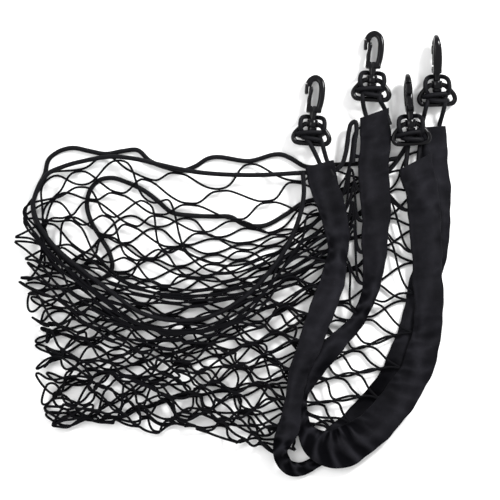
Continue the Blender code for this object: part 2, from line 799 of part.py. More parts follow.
def turned_stem(name, collection):
    """The headed stem: its profile turned about the Y axis."""
    mesh = bpy.data.meshes.new(name)
    points = [(radius * MM, 0.0, along * MM) for radius, along in STEM_PROFILE]
    mesh.from_pydata(points, [(n, n + 1) for n in range(len(points) - 1)], [])
    stem = add_object(name, mesh, collection)
    screw = stem.modifiers.new("turn", "SCREW")
    screw.steps = screw.render_steps = ROUND_SIDES
    screw.use_merge_vertices = True
    screw.merge_threshold = WELD
    return stem


def build_hook(name, frame, collection, tools):
    """Bar and nose, root block with a forked slot and its pin, and the stem, all one piece."""
    line = smooth_line([(x, y, 0.0, wide, deep) for x, y, wide, deep in BAR_ROUTE], BAR_POINTS)
    bar = add_tube(name, line[:, :3] * MM, 1.0, collection, radii=line[:, 3])
    hook = as_mesh(bar, collection, MOULDED)
    centres, depths = line[:, :2], line[:, 4] / line[:, 3]
    for vertex in hook.data.vertices:
        nearest = np.linalg.norm(centres - np.array(vertex.co[:2]) / MM, axis=1).argmin()
        vertex.co.z *= depths[nearest]
    root = add_box(f"{name}_root", ROOT_BOX, tools, EDGE_ROUNDING)
    stem = turned_stem(f"{name}_stem", tools)
    slot = add_box(f"{name}_slot", SLOT_BOX, tools)
    notch = add_box(f"{name}_notch", NOTCH_BOX, tools)
    pin = add_rod(f"{name}_pin", PIN_RADIUS, -PIN_HALF_LENGTH, PIN_HALF_LENGTH, "Z", PIN_PLACE, tools)
    steps = ((root, "UNION"), (stem, "UNION"), (slot, "DIFFERENCE"), (notch, "DIFFERENCE"), (pin, "UNION"))
    for tool, operation in steps:
        add_boolean(hook, tool, operation)
        tool.matrix_world = frame
    stem.matrix_world = frame @ Matrix.Rotation(math.radians(-90), 4, "X")
    hook.matrix_world = frame
    return hook


def build_gate(name, hook, collection, tools):
    """The sprung gate: a bar with a tongue in the hook's fork, bored for the pin."""
    gate = add_plate(name, GATE_BODY, GATE_BODY_HALF_DEPTH, collection)
    gate.data.materials.append(material_of(name, MOULDED))
    tongue = add_plate(f"{name}_tongue", GATE_TONGUE, GATE_TONGUE_HALF_DEPTH, tools)
    reach = GATE_TONGUE_HALF_DEPTH + BORE_RUN_OUT
    bore = add_rod(f"{name}_bore", GATE_BORE_RADIUS, -reach, reach, "Z", (0.0, 0.0), tools)
    for tool, operation in ((tongue, "UNION"), (bore, "DIFFERENCE")):
        add_boolean(gate, tool, operation)
    for thing in (gate, tongue, bore):
        thing.parent = hook
        thing.location = (PIN_PLACE[0] * MM, PIN_PLACE[1] * MM, 0.0)


def build_bungee(name, hook, frame, collection):
    """An elastic loop: out of the sleeve, over the ring's bar, round its sides and behind the stem."""
    knot = np.asarray(BUNGEE_KNOT)
    first, last = hook["over_bar"]
    inside = np.vstack([first, knot * (-1, 1, 1), BUNGEE_BEHIND, knot[::-1], last])
    placed_points = [np.array(frame @ Vector(point * MM)) / MM for point in inside]
    mouths = [spot(mouth) / MM for mouth in hook["mouth"]]
    line = smooth_line([mouths[0], *placed_points, mouths[1]], BUNGEE_POINTS)
    add_tube(name, line * MM, BUNGEE_RADIUS, collection, ELASTIC)


def build_all():
    for thing in list(bpy.data.objects):
        bpy.data.objects.remove(thing)
    parts = bpy.data.collections.new("cargo_net")
    tools = bpy.data.collections.new("cutters")
    for collection in (parts, tools):
        bpy.context.scene.collection.children.link(collection)
    build_sleeve("sleeve_a", SLEEVE_A, parts)
    build_sleeve("sleeve_b", SLEEVE_B, parts)
    edges = ((EDGE_1_TO_FOLD, EDGE_1_FROM_FOLD), (EDGE_2_TO_FOLD, EDGE_2_FROM_FOLD))
    for number, halves in enumerate(edges, 1):
        line = edge_cord_line(*halves, EDGE_CORD_POINTS)
        add_tube(f"edge_cord_{number}", spot(line), EDGE_CORD_RADIUS, parts, ELASTIC)
    build_net(parts)
    for number, hook in enumerate(HOOKS, 1):
        frame = placed(hook)
        swivelled = frame @ Matrix.Rotation(math.radians(hook["swivel"]), 4, "Y")
        build_ring(f"ring_{number}", frame, parts, tools)
        swivel = build_hook(f"hook_{number}", swivelled, parts, tools)
        build_gate(f"gate_{number}", swivel, parts, tools)
        build_bungee(f"bungee_{number}", hook, frame, parts)


build_all()
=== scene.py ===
# %% [markdown]
# # An elastic cargo net, folded up and laid flat
#
# The real thing is a soft envelope for a car's boot. Two fabric sleeves run down the sides of a
# knotless net, a thick elastic cord hems each open edge, and a snap hook on a bungee loop ends each
# sleeve. Here the net is folded across and along, so it lies in four layers. This lesson dresses the
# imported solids, and every surface is a function of two parameters.

import math
from collections import namedtuple

import bpy
import numpy as np
from mathutils import Matrix, Vector


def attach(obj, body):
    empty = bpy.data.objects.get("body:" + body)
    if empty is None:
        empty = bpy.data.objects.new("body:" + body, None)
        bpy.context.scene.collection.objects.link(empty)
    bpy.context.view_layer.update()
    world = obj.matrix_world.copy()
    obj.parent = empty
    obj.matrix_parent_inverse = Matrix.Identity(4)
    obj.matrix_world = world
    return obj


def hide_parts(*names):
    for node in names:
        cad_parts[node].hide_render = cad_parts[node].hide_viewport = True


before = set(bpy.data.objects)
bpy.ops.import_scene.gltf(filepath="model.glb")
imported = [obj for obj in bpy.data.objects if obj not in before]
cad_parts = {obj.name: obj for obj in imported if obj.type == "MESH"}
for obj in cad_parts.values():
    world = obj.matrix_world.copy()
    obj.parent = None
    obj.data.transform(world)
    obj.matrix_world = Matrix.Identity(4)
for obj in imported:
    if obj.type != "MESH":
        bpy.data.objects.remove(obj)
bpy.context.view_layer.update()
ROOT = "laid_net"

# %% [markdown]
# ## The layout sheet
#
# A folded net is easiest to lay out like a drawing seen from above. Places are in millimetres to the
# right, down and up, and one function turns them into metres.

# %% Places on the layout sheet
SCENE = bpy.context.scene
MM = 0.001
SHEET_CENTRE = (237.0, 253.5)
SPAN_STEPS = 12  # points worked out in each span of a smooth line


def spot(place):
    """Right, down and up in millimetres as x, y and z in metres."""
    place = np.asarray(place, float)
    return place[..., :3] * (MM, -MM, MM) + (-SHEET_CENTRE[0] * MM, SHEET_CENTRE[1] * MM, 0.0)


def columns_at(wanted, known, table):
    """Each column of a table, read at wanted places between the known ones."""
    return np.column_stack([np.interp(wanted, known, column) for column in table.T])


def smooth_line(chosen, count):
    """Evenly spaced points of a smooth curve through chosen points.

    Each span is a cubic whose slope at a chosen point is the mean of its neighbours' slopes, the
    nearer one counting more. Columns past the third, such as a width, are carried along.
    """
    chosen = np.asarray(chosen, float)
    chords = np.linalg.norm(np.diff(chosen[:, :3], axis=0), axis=1)[:, None]
    slopes = np.diff(chosen, axis=0) / chords
    middle = (slopes[:-1] * chords[1:] + slopes[1:] * chords[:-1]) / (chords[1:] + chords[:-1])
    slopes = np.vstack([slopes[:1], middle, slopes[-1:]])
    step = np.linspace(0.0, 1.0, SPAN_STEPS, endpoint=False)[None, :, None]
    start, end = chosen[:-1, None], chosen[1:, None]
    leave, arrive = (slopes[:-1] * chords)[:, None], (slopes[1:] * chords)[:, None]
    spans = (
        start * (2 * step**3 - 3 * step**2 + 1)
        + leave * (step**3 - 2 * step**2 + step)
        + end * (3 * step**2 - 2 * step**3)
        + arrive * (step**3 - step**2)
    )
    dense = np.vstack([spans.reshape(-1, chosen.shape[1]), chosen[-1:]])
    travelled = np.concatenate([[0.0], np.linalg.norm(np.diff(dense[:, :3], axis=0), axis=1).cumsum()])
    return columns_at(np.linspace(0.0, travelled[-1], count), travelled, dense)


def raised(up, places):
    """Put one height into a list of right, down and anything more."""
    return [(*place[:2], up, *place[2:]) for place in places]


def length_of(line):
    return float(np.linalg.norm(np.diff(line[:, :3], axis=0), axis=1).sum())


def unit(vectors):
    return vectors / np.maximum(np.linalg.norm(vectors, axis=-1, keepdims=True), 1e-9)


def smooth_step(value):
    """0 below 0, 1 above 1, and an even S between."""
    value = np.clip(value, 0, 1)
    return value * value * (3.0 - 2.0 * value)


def full_turn(count):
    """Even angles of one turn."""
    return np.arange(count) * 2 * np.pi / count


def squared(wave, power):
    """A sine or cosine that stays longer near 1 and -1: sign(w) |w|^power."""
    return np.sign(wave) * np.abs(wave) ** power


def across(line):
    """Unit vectors square to a line on the sheet, to the right of its run as seen from above."""
    run = unit(np.gradient(line[:, :2], axis=0))
    return np.column_stack([-run[:, 1], run[:, 0]])


# %% [markdown]
# ## Floor, light and camera
#
# The net lies on a white surface under an even light, and the camera looks straight down through a
# long lens. One soft light from the upper right gives the hooks their highlights and the cloth its
# folds, and a weaker one comes from the left.

# %% Floor, light and camera
PHOTO_WIDTH = 0.5  # metres across the picture
CAMERA_HEIGHT = 2.6
SENSOR = 36.0
PHOTO_MIDDLE = spot((250.0, 250.0, 0.0))
WHITE = (1.0, 1.0, 1.0, 1.0)
FLOOR_HALF = 6.0
FLOOR_DROP = 0.0004  # just under the lowest cords
FLOOR_TONE = (0.93, 0.93, 0.93, 1.0)
LIGHTS = (("key", (0.75, 0.75, 0.75), 0.35, 24.0), ("fill", (-0.9, 0.3, 1.3), 1.0, 10.0))


def link(thing):
    SCENE.collection.objects.link(thing)
    return thing


def add_light(name, place, size, power):
    """A round soft light that looks at the origin."""
    light = bpy.data.lights.new(name, "AREA")
    light.shape = "DISK"
    light.size = size
    light.energy = power
    thing = link(bpy.data.objects.new(name, light))
    thing.location = place
    thing.rotation_euler = (-Vector(place)).to_track_quat("-Z", "Y").to_euler()


floor_corners = [(x * FLOOR_HALF, y * FLOOR_HALF, 0) for x, y in ((-1, -1), (1, -1), (1, 1), (-1, 1))]
floor_mesh = bpy.data.meshes.new("floor")
floor_mesh.from_pydata(floor_corners, [], [(0, 1, 2, 3)])
floor = link(bpy.data.objects.new("floor", floor_mesh))
floor.location.z = -FLOOR_DROP
floor_look = bpy.data.materials.new("white floor")
floor_look.use_nodes = True
floor_values = {"Base Color": FLOOR_TONE, "Roughness": 0.9, "Specular IOR Level": 0.1}
for key, value in floor_values.items():
    floor_look.node_tree.nodes["Principled BSDF"].inputs[key].default_value = value
floor_mesh.materials.append(floor_look)

world = bpy.data.worlds.new("studio")
world.use_nodes = True
for key, value in {"Color": WHITE, "Strength": 0.95}.items():
    world.node_tree.nodes["Background"].inputs[key].default_value = value
SCENE.world = world
for light in LIGHTS:
    add_light(*light)

camera_data = bpy.data.cameras.new("camera")
camera_data.sensor_width = SENSOR
camera_data.lens = SENSOR * CAMERA_HEIGHT / PHOTO_WIDTH
camera = link(bpy.data.objects.new("camera", camera_data))
camera.location = (PHOTO_MIDDLE[0], PHOTO_MIDDLE[1], CAMERA_HEIGHT)
SCENE.camera = camera
SCENE.view_settings.view_transform = "Standard"
SCENE.view_settings.exposure = 0.0
print("camera over", [round(float(v), 4) for v in PHOTO_MIDDLE], "lens", round(camera_data.lens, 1))

# %% [markdown]
# ## From grids of points to meshes
#
# Everything soft or round here is a section carried along a path. It needs two directions square to
# the path, which are carried from point to point, losing only what lies along the path. So a round
# cord doesn't twist.

# %% Frames carried along paths
NEARLY_UPRIGHT = 0.9


def carried_frames(paths, closed):
    """Two carried unit vectors, square to paths (path, point, 3) and to each other."""
    if closed:
        tangents = unit(np.roll(paths, -1, axis=1) - np.roll(paths, 1, axis=1))
    else:
        tangents = unit(np.gradient(paths, axis=1))
    first = tangents[:, 0]
    upright = np.abs(first[:, 2:]) > NEARLY_UPRIGHT
    side = np.cross(first, np.where(upright, (1.0, 0.0, 0.0), (0.0, 0.0, 1.0)))
    sides = np.empty_like(paths)
    for index in range(paths.shape[1]):
        tangent = tangents[:, index]
        side = unit(side - (side * tangent).sum(-1, keepdims=True) * tangent)
        sides[:, index] = side
    return sides, np.cross(tangents, sides)


def round_tubes(paths, radius, sides, closed=False):
    """Grids of points for round cords: centre + radius (cos a side + sin a up)."""
    paths = np.asarray(paths, float)
    side, up = carried_frames(paths, closed)
    angle = full_turn(sides)
    radius = np.broadcast_to(radius, paths.shape[:2])[..., None, None]
    ring = np.cos(angle)[:, None] * side[:, :, None] + np.sin(angle)[:, None] * up[:, :, None]
    return paths[:, :, None] + radius * ring


# %% A mesh from grids
SHARP_ANGLE = 40.0  # degrees between faces that keep an edge


def add_surface(name, grids, material, body=ROOT, capped=True, crease_shade=None):
    """A mesh from grids of points (grid, along, around, 3) in metres, closed round each section.

    A face joins points (i, j), (i, j + 1), (i + 1, j + 1) and (i + 1, j). The UV map "wrap" holds the
    share of the way round, and the metres along. A point attribute for painted crease shade is 1 deep
    in a fold of cloth, where the cloth's colour and shine are darkened as painted shade.
    """
    grids = grids if isinstance(grids, list) else [grids]
    points, faces, loops, base = [], [], [], 0
    for grid in grids:
        many, long, wide = grid.shape[:3]
        index = np.arange(many * long * wide).reshape(many, long, wide) + base
        base += index.size
        points.append(grid.reshape(-1, 3))
        here, ahead = index[:, :-1], index[:, 1:]
        quads = np.stack([here, np.roll(here, -1, 2), np.roll(ahead, -1, 2), ahead], axis=-1)
        faces += quads.reshape(-1, 4).tolist()
        centre = grid.mean(axis=2)
        step = np.linalg.norm(np.diff(centre, axis=1, append=centre[:, :1]), axis=-1)
        along = np.concatenate([np.zeros((many, 1)), step.cumsum(axis=1)], axis=1)
        rows = quads.shape[1]
        turn = np.arange(wide) / wide
        corner = np.empty((many, rows, wide, 4, 2))
        corner[..., (0, 3), 0] = turn[:, None]
        corner[..., (1, 2), 0] = turn[:, None] + 1 / wide
        corner[..., (0, 1), 1] = along[:, :rows, None, None]
        corner[..., (2, 3), 1] = along[:, 1 : rows + 1, None, None]
        loops.append(corner.reshape(-1, 2))
        if capped:
            ends = np.concatenate([index[:, 0, ::-1], index[:, -1]])
            faces += ends.tolist()
            loops.append(np.zeros((ends.size, 2)))
    mesh = bpy.data.meshes.new(name)
    mesh.from_pydata(np.vstack(points), [], faces)
    mesh.uv_layers.new(name="wrap").data.foreach_set("uv", np.vstack(loops).ravel())
    # The crease mask says where shade is painted into the cloth
    if crease_shade is not None:
        mesh.attributes.new("crease_shade", "FLOAT", "POINT").data.foreach_set("value", crease_shade.ravel())
    mesh.shade_smooth()
    mesh.set_sharp_from_angle(angle=math.radians(SHARP_ANGLE))
    mesh.materials.append(material)
    piece = link(bpy.data.objects.new(name, mesh))
    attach(piece, body)
    return piece


# %% [markdown]
# ## Finishes
#
# There are four: matt woven polyester, a braided cover over rubber, the knitted cord of the net, and
# moulded nylon. All are near black, so relief and gloss tell them apart. Threads follow the surface,
# so their pattern reads the UV map.

# %% Node helpers
def add_node(tree, kind, inputs=None, **settings):
    made = tree.nodes.new("ShaderNode" + kind)
    for key, value in settings.items():
        setattr(made, key, value)
    for key, value in (inputs or {}).items():
        if isinstance(value, bpy.types.NodeSocket):
            tree.links.new(value, made.inputs[key])
        else:
            made.inputs[key].default_value = value
    return made


def maths(tree, operation, first, second=0.0):
    return add_node(tree, "Math", {0: first, 1: second}, operation=operation).outputs[0]


def times(tree, first, second):
    return maths(tree, "MULTIPLY", first, second)


def new_group(name, numbers, outputs):
    """A node group that reads a Vector and some numbers, and puts out values."""
    tree = bpy.data.node_groups.new(name, "ShaderNodeTree")
    tree.interface.new_socket("Vector", in_out="INPUT", socket_type="NodeSocketVector")
    for label, value in numbers.items():
        socket = tree.interface.new_socket(label, in_out="INPUT", socket_type="NodeSocketFloat")
        socket.default_value = value
    for label in outputs:
        tree.interface.new_socket(label, in_out="OUTPUT", socket_type="NodeSocketFloat")
    return tree, tree.nodes.new("NodeGroupInput").outputs, tree.nodes.new("NodeGroupOutput")


# %% Threads, woven square or braided on a slant
def thread_group():
    """Height = 0.5 + 0.5 sin(2 pi a) sin(2 pi b).

    Here a = Round U + Slant Along V, and b = Along V - Slant Round U.
    """
    numbers = {"Round": 8.0, "Along": 500.0, "Slant": 1.0}
    tree, given, result = new_group("threads", numbers, ["Height"])
    parts = add_node(tree, "SeparateXYZ", {0: given["Vector"]}).outputs
    round_count = times(tree, parts[0], given["Round"])
    along_count = times(tree, parts[1], given["Along"])
    first = maths(tree, "ADD", round_count, times(tree, along_count, given["Slant"]))
    second = maths(tree, "SUBTRACT", along_count, times(tree, round_count, given["Slant"]))
    waves = [maths(tree, "SINE", times(tree, phase, 2 * math.pi)) for phase in (first, second)]
    height = maths(tree, "ADD", times(tree, times(tree, *waves), 0.5), 0.5)
    tree.links.new(height, result.inputs["Height"])
    return tree


# %% Lint, rubbing and uneven dye
LINT_FINER = 25.0  # than the drift of tone
LINT_LIMITS = {"From Min": 0.66, "From Max": 0.78}


def wear_group():
    """Shade drifts slowly over the surface, and Lint picks out a few specks; both run from 0 to 1."""
    tree, given, result = new_group("wear", {"Scale": 40.0}, ["Shade", "Lint"])
    slow = {"Vector": given["Vector"], "Scale": given["Scale"], "Detail": 4.0, "Roughness": 0.6}
    shade = add_node(tree, "TexNoise", slow).outputs[0]
    specks = {"Vector": given["Vector"], "Scale": times(tree, given["Scale"], LINT_FINER)}
    fine = add_node(tree, "TexNoise", specks).outputs[0]
    lint = add_node(tree, "MapRange", {"Value": fine, **LINT_LIMITS}).outputs[0]
    tree.links.new(shade, result.inputs["Shade"])
    tree.links.new(lint, result.inputs["Lint"])
    return tree


THREADS = thread_group()
WEAR = wear_group()


# %% One recipe for all the finishes
WEAR_SCALE = 30.0  # drifts of tone per metre
GRAIN_SCALE = 1500.0
LINT_TONE = 0.8  # how far a speck of lint goes towards the light tone
THREAD_SHADED_TONE, THREAD_TOP_LIGHT = 0.75, 0.5  # tone in the painted shade between threads, and how much lighter a thread's top is painted
ROUGH_LIMITS = {"From Min": 0.3, "From Max": 0.7}
PILE_LIMITS = {"From Min": 0.36, "From Max": 0.62, "To Min": 0.68}
OPEN_SHINE = 1.6  # times the given level, where cloth lies open and no crease shade is painted on its shine


def add_finish(
    name, dark, light, rough, threads=None, relief=0.3, depth=0.0002, constants=None, crease_shade_tone=None
):
    """Colour and roughness drift between two values, and the threads or a fine grain give the relief.

    Threads are painted darker between them and lighter on their tops. Where cloth lies creased, tone
    and shine are painted down to the share given, as painted shade.
    """
    finish = bpy.data.materials.new(name)
    finish.use_nodes = True
    tree = finish.node_tree
    shader = tree.nodes["Principled BSDF"]
    for key, value in (constants or {}).items():
        shader.inputs[key].default_value = value
    own = add_node(tree, "TexCoord").outputs["Object"]
    wear = add_node(tree, "Group", {"Vector": own, "Scale": WEAR_SCALE}, node_tree=WEAR)
    shade = wear.outputs["Shade"]
    tone = maths(tree, "ADD", shade, times(tree, wear.outputs["Lint"], LINT_TONE))
    if threads:
        wrap = add_node(tree, "UVMap", uv_map="wrap").outputs[0]
        counts = dict(zip(("Round", "Along", "Slant"), threads))
        weave = add_node(tree, "Group", {"Vector": wrap, **counts}, node_tree=THREADS)
        height = weave.outputs["Height"]
        # Painted shade between threads, and painted light on their tops
        tone = times(tree, tone, maths(tree, "ADD", times(tree, height, THREAD_TOP_LIGHT), THREAD_SHADED_TONE))
    else:
        grain = {"Vector": own, "Scale": GRAIN_SCALE, "Detail": 2.0}
        height = add_node(tree, "TexNoise", grain).outputs[0]
    # Painted shade: in a crease the colour and the shine are darkened, and the drift of tone varies
    # both
    if crease_shade_tone:
        crease_shade = add_node(tree, "Attribute", attribute_name="crease_shade").outputs["Fac"]
        drift = add_node(tree, "MapRange", {"Value": shade, **PILE_LIMITS}).outputs[0]
        after_crease_shade = maths(tree, "SUBTRACT", 1.0, times(tree, crease_shade, 1.0 - crease_shade_tone))
        crease_shade_and_drift = times(tree, after_crease_shade, drift)
        tone = times(tree, tone, crease_shade_and_drift)
        level = shader.inputs["Specular IOR Level"]
        tree.links.new(times(tree, crease_shade_and_drift, level.default_value * OPEN_SHINE), level)
    mix = {0: tone, 6: (*dark, 1.0), 7: (*light, 1.0)}
    colour = add_node(tree, "Mix", mix, data_type="RGBA")
    tree.links.new(colour.outputs[2], shader.inputs["Base Color"])
    limits = {"Value": shade, **ROUGH_LIMITS, "To Min": rough[0], "To Max": rough[1]}
    tree.links.new(add_node(tree, "MapRange", limits).outputs[0], shader.inputs["Roughness"])
    bump = add_node(tree, "Bump", {"Height": height, "Strength": relief, "Distance": depth})
    tree.links.new(bump.outputs[0], shader.inputs["Normal"])
    return finish


CLOTH = add_finish(
    "woven polyester", (0.001, 0.001, 0.0014), (0.015, 0.0146, 0.019), (0.62, 0.85),
    threads=(110.0, 1500.0, 0.0), relief=0.5, crease_shade_tone=0.12,
    constants={"Sheen Weight": 0.02, "Sheen Roughness": 0.4, "Specular IOR Level": 0.05},
)
BRAID = add_finish(
    "braided elastic", (0.0018, 0.0018, 0.0024), (0.0055, 0.0055, 0.007), (0.45, 0.65),
    threads=(6.0, 420.0, 1.0), relief=0.7, depth=0.0003, constants={"Specular IOR Level": 0.07},
)
NET_CORD = add_finish(
    "knitted net cord", (0.0012, 0.0012, 0.0016), (0.004, 0.004, 0.0052), (0.55, 0.75),
    threads=(4.0, 700.0, 1.0), relief=0.6, constants={"Specular IOR Level": 0.04},
)
NYLON = add_finish(
    "moulded nylon", (0.0014, 0.0013, 0.0018), (0.0036, 0.0034, 0.0042), (0.1, 0.18),
    relief=0.08, depth=0.0001, constants={"Specular IOR Level": 0.15},
)
print("finishes:", [m.name for m in bpy.data.materials if m.users])

# %% [markdown]
# ## The two sleeves
#
# A sleeve is a strip of cloth folded over into a flat tube, stitched along its open side, where the
# net goes in. Each lies bent in a U. A flat tube carried along a drawn line keeps it where the solids
# are, with its folds where the picture shows them.

# %% Where the sleeves lie: right, down, up, width
# A run at one height has it once, in front
SLEEVE_A = raised(16.2, [
    (318.5, 163, 28), (321.7, 180, 30), (329, 200, 28), (336.5, 233, 24), (337.5, 253, 21),
    (332, 280, 24), (325, 300, 26), (313.5, 333, 24),
]) + [
    (300, 367, 16.8, 20.5), (293, 400, 17.4, 17), (286.5, 433, 17.5, 22), (280, 450, 13.6, 14),
    (284, 463, 9, 15), (295, 469, 5, 15), (307, 466.5, 3.2, 13),
] + raised(2.8, [
    (318, 460, 12), (325, 454, 11), (335, 440, 26), (352, 425, 28), (370, 407, 28), (386, 388, 28),
    (398, 366, 28), (408, 343, 28), (418, 310, 29), (425, 280, 30), (434, 240, 30), (435.5, 200, 30),
    (433.5, 165, 30), (431, 127, 29),
])
SLEEVE_B = raised(11.5, [
    (374, 112, 30), (375, 135, 30), (373, 165, 31), (375, 200, 30), (374, 250, 25), (372, 275, 20),
    (367, 300, 16), (358, 318, 14), (343, 335, 18), (330, 350, 20),
]) + [
    (318, 365, 11.3, 18), (309, 380, 11, 14), (303, 395, 11.2, 11), (300, 408, 11.2, 15),
    (303, 424, 11.4, 14), (313, 440, 11.5, 28), (325, 447, 10.2, 36),
] + raised(9.5, [
    (340, 447, 40), (356, 440, 38), (372, 428, 36), (387, 412, 34), (401, 395, 34), (413, 375, 32),
    (421, 355, 31), (426.5, 333, 29), (428, 305, 29), (427.5, 280, 29.5), (425, 240, 31),
    (422.5, 200, 33), (417, 175, 33), (414, 151.5, 34),
])
SLEEVE_HALF_THICKNESS = 2.8
SLEEVE_LINE_POINTS = 401
SLEEVE_AROUND = 44
CLOTH_THICKNESS = 0.0007
HEM_LENGTH = 7.0
HEM_THICKER = 0.35
BOXINESS = 2.6  # exponent of the flat tube's section
BEND_SPREAD = 12  # sections to each side that a bend is averaged over
GATHER = 80.0  # how soon a bend gathers the cloth
MOUTH_FADE = 45.0
LOWEST = 0.05  # no surface lies closer to the floor
# Folds: length along the sleeve and height, in millimetres
FOLD_WAVES = ((64.0, 1.3), (41.0, 1.2), (27.0, 1.1), (18.0, 0.8), (11.0, 0.45))
PUCKER_WAVES = ((61.0, 0.5), (37.0, 0.35), (17.0, 0.2))
SHORT_GATHERS, LONG_GATHERS, THROUGH_GATHERS = (10.0, 1.9), (23.0, 1.2), (15.0, 2.6)
FOLD_BEAT = 3.7  # lengths over which a wave's ridges come and go
LONG_FOLD_LENGTH, LONG_FOLD_REACH, LONG_FOLD_WIDTH = 190.0, 0.45, 0.3
FOLD_LIMITS = (-2.1, 1.6)
UNDER_SHARE = 0.3  # the cloth's underside is pressed flatter
FOLD_FADE = 30.0  # a mouth lies flat for this long
CREASE_SHADE_AT, CREASE_SHADE_RANGE = 0.42, 2.6  # share of painted crease shade at no fold, and the fold's height that clears it
STRAIGHT_CREASE_SHADE = 0.38  # how strong the painted crease shade is where the sleeve runs straight
# Stitched grooves: place across as a share of the half width, width and depth
SEAM_PLACE, SEAM_WIDTH, SEAM_DEPTH = 0.76, 0.9, 0.45
HEM_ROWS, ROW_WIDTH, ROW_DEPTH = (2.0, HEM_LENGTH - 1.5), 0.8, 0.3
# How far each mouth is set back: in the middle, and more towards the right of the run
MOUTHS_A = ((1.2, 1.2), (0.0, 0.0))
MOUTHS_B = ((1.5, 4.5), (-10.0, 6.0))


# %% Folds of the cloth
def ridges(phase):
    """Soft ridges between narrow creases: 1 - |sin|."""
    return 1.0 - np.abs(np.sin(phase))


def sleeve_folds(along, side, bend, seed):
    """How far the upper cloth stands off a plain flat tube, in millimetres.

    Slanted ridges of several lengths come and go, and one long soft fold wanders down the sleeve.
    Where it bends, its inner side is too long and gathers into short ridges.
    """
    draw = np.random.default_rng(seed)
    total = np.zeros(np.broadcast(along, side).shape)
    for length, tall in FOLD_WAVES:
        slant, phase, place, beat = draw.uniform((-2.6, 0, 0, 0.5), (2.6, 6.3, 6.3, 1.5))
        here = 0.5 + 0.5 * np.sin(along * 2 * np.pi / (length * FOLD_BEAT) * beat + place + 1.4 * side)
        total += tall * here**2 * (ridges(along * np.pi / length + slant * side + phase) - 0.4)
    wander = LONG_FOLD_REACH * np.sin(along * 2 * np.pi / LONG_FOLD_LENGTH + draw.uniform(0, 6.3))
    total += 1.1 * np.exp(-(((side - wander) / LONG_FOLD_WIDTH) ** 2)) - 0.4
    inner = np.clip(bend * side * GATHER, 0, 1) * smooth_step(0.5 + side * np.sign(bend) * 0.7)
    slant, phase = draw.uniform((1.0, 0.0), (2.5, 6.3))
    short = ridges(along * np.pi / SHORT_GATHERS[0] + slant * side**2 + phase) - 0.45
    long = ridges(along * np.pi / LONG_GATHERS[0] - slant * side + phase) - 0.45
    fan = np.clip(np.abs(bend) * GATHER - 0.25, 0, 1)
    through = ridges(along * np.pi / THROUGH_GATHERS[0] + 0.7 * np.sin(2.1 * side + phase)) - 0.5
    gathered = inner * (SHORT_GATHERS[1] * short + LONG_GATHERS[1] * long)
    return total + gathered + fan * THROUGH_GATHERS[1] * through


# %% Build the sleeves
def sleeve_grid(chosen, seed, turn, mouths, shaded_twist, sections=480):
    """A flat tube: centre + x half width side + z half thickness up, with |x|^n + |z|^n = 1.

    The painted crease shade is 1 where the folds lie low, and stronger in a bend; at the twist it is
    painted over one side, for the underside in shade.
    """
    line = smooth_line(chosen, sections)
    length = length_of(line)
    along = np.linspace(0.0, length, sections)[:, None]
    sides = across(line)
    heading = np.unwrap(np.arctan2(sides[:, 1], sides[:, 0]))
    bend = np.gradient(heading, length / (sections - 1))
    window = 2 * BEND_SPREAD + 1
    bend = np.pad(bend, BEND_SPREAD, mode="edge")
    bend = np.convolve(bend, np.ones(window) / window, mode="valid")[:, None]
    angle = full_turn(SLEEVE_AROUND)[None]
    x = squared(np.cos(angle), 2 / BOXINESS)
    z = -squared(np.sin(angle), 2 / BOXINESS)
    edge = np.clip(1.0 - np.abs(x), 0, 1)
    draw = np.random.default_rng(seed + 100)
    pucker = sum(
        tall * np.sin(along * 2 * np.pi / step + phase + x)
        for (step, tall), phase in zip(PUCKER_WAVES, draw.uniform(0, 6.3, 3))
    )
    from_mouth = np.minimum(along, length - along)
    folds = sleeve_folds(along, x, bend, seed)
    bent = np.clip(np.abs(bend) * GATHER, 0, 1)
    # Painted shade: this mask darkens the cloth's colour and shine where folds lie low, more in a bend
    crease_shade = smooth_step(CREASE_SHADE_AT - folds / CREASE_SHADE_RANGE)
    crease_shade = crease_shade * (STRAIGHT_CREASE_SHADE + (1.0 - STRAIGHT_CREASE_SHADE) * bent)
    # More painted shade, over one side where a twisted sleeve's underside would lie in shade
    twist_shade = np.exp(-(((along / length - shaded_twist[0]) / shaded_twist[1]) ** 2))
    crease_shade = np.maximum(crease_shade, twist_shade * smooth_step(0.6 - x))
    folds = folds * smooth_step(edge * 5.0) * smooth_step(from_mouth / FOLD_FADE)
    hem = smooth_step((HEM_LENGTH - from_mouth) * 2.0)
    stitch_at = np.clip((turn - along / length) * 14.0, -1.0, 1.0) * SEAM_PLACE
    groove = np.exp(-(((x - stitch_at) * line[:, 3, None] / 2 / SEAM_WIDTH) ** 2)) * SEAM_DEPTH
    for row in HEM_ROWS:
        near = np.minimum(np.abs(along - row), np.abs(length - row - along))
        groove = groove + ROW_DEPTH * np.exp(-((near / ROW_WIDTH) ** 2))
    stand = z * (SLEEVE_HALF_THICKNESS + HEM_THICKER * hem)
    lift = np.where(z > 0, 1.0, UNDER_SHARE) * np.sign(z)
    stand = stand + lift * np.clip(folds, *FOLD_LIMITS) * (1 - hem)
    stand = stand - np.sign(z) * groove * smooth_step(np.abs(z) * 2.0)
    reach = x * (line[:, 3, None] / 2 + pucker)
    grid = np.empty((sections, SLEEVE_AROUND, 3))
    grid[..., :2] = line[:, None, :2] + reach[..., None] * sides[:, None]
    grid[..., 2] = np.maximum(line[:, 2, None] + stand, LOWEST)
    run = np.column_stack([sides[:, 1], -sides[:, 0]])
    for (middle, tilt), away in zip(mouths, (along, length - along)):
        back = (middle + tilt * x) * (1 - smooth_step(away / MOUTH_FADE))
        grid[..., :2] += back[..., None] * run[:, None]
    return grid, line, length, crease_shade


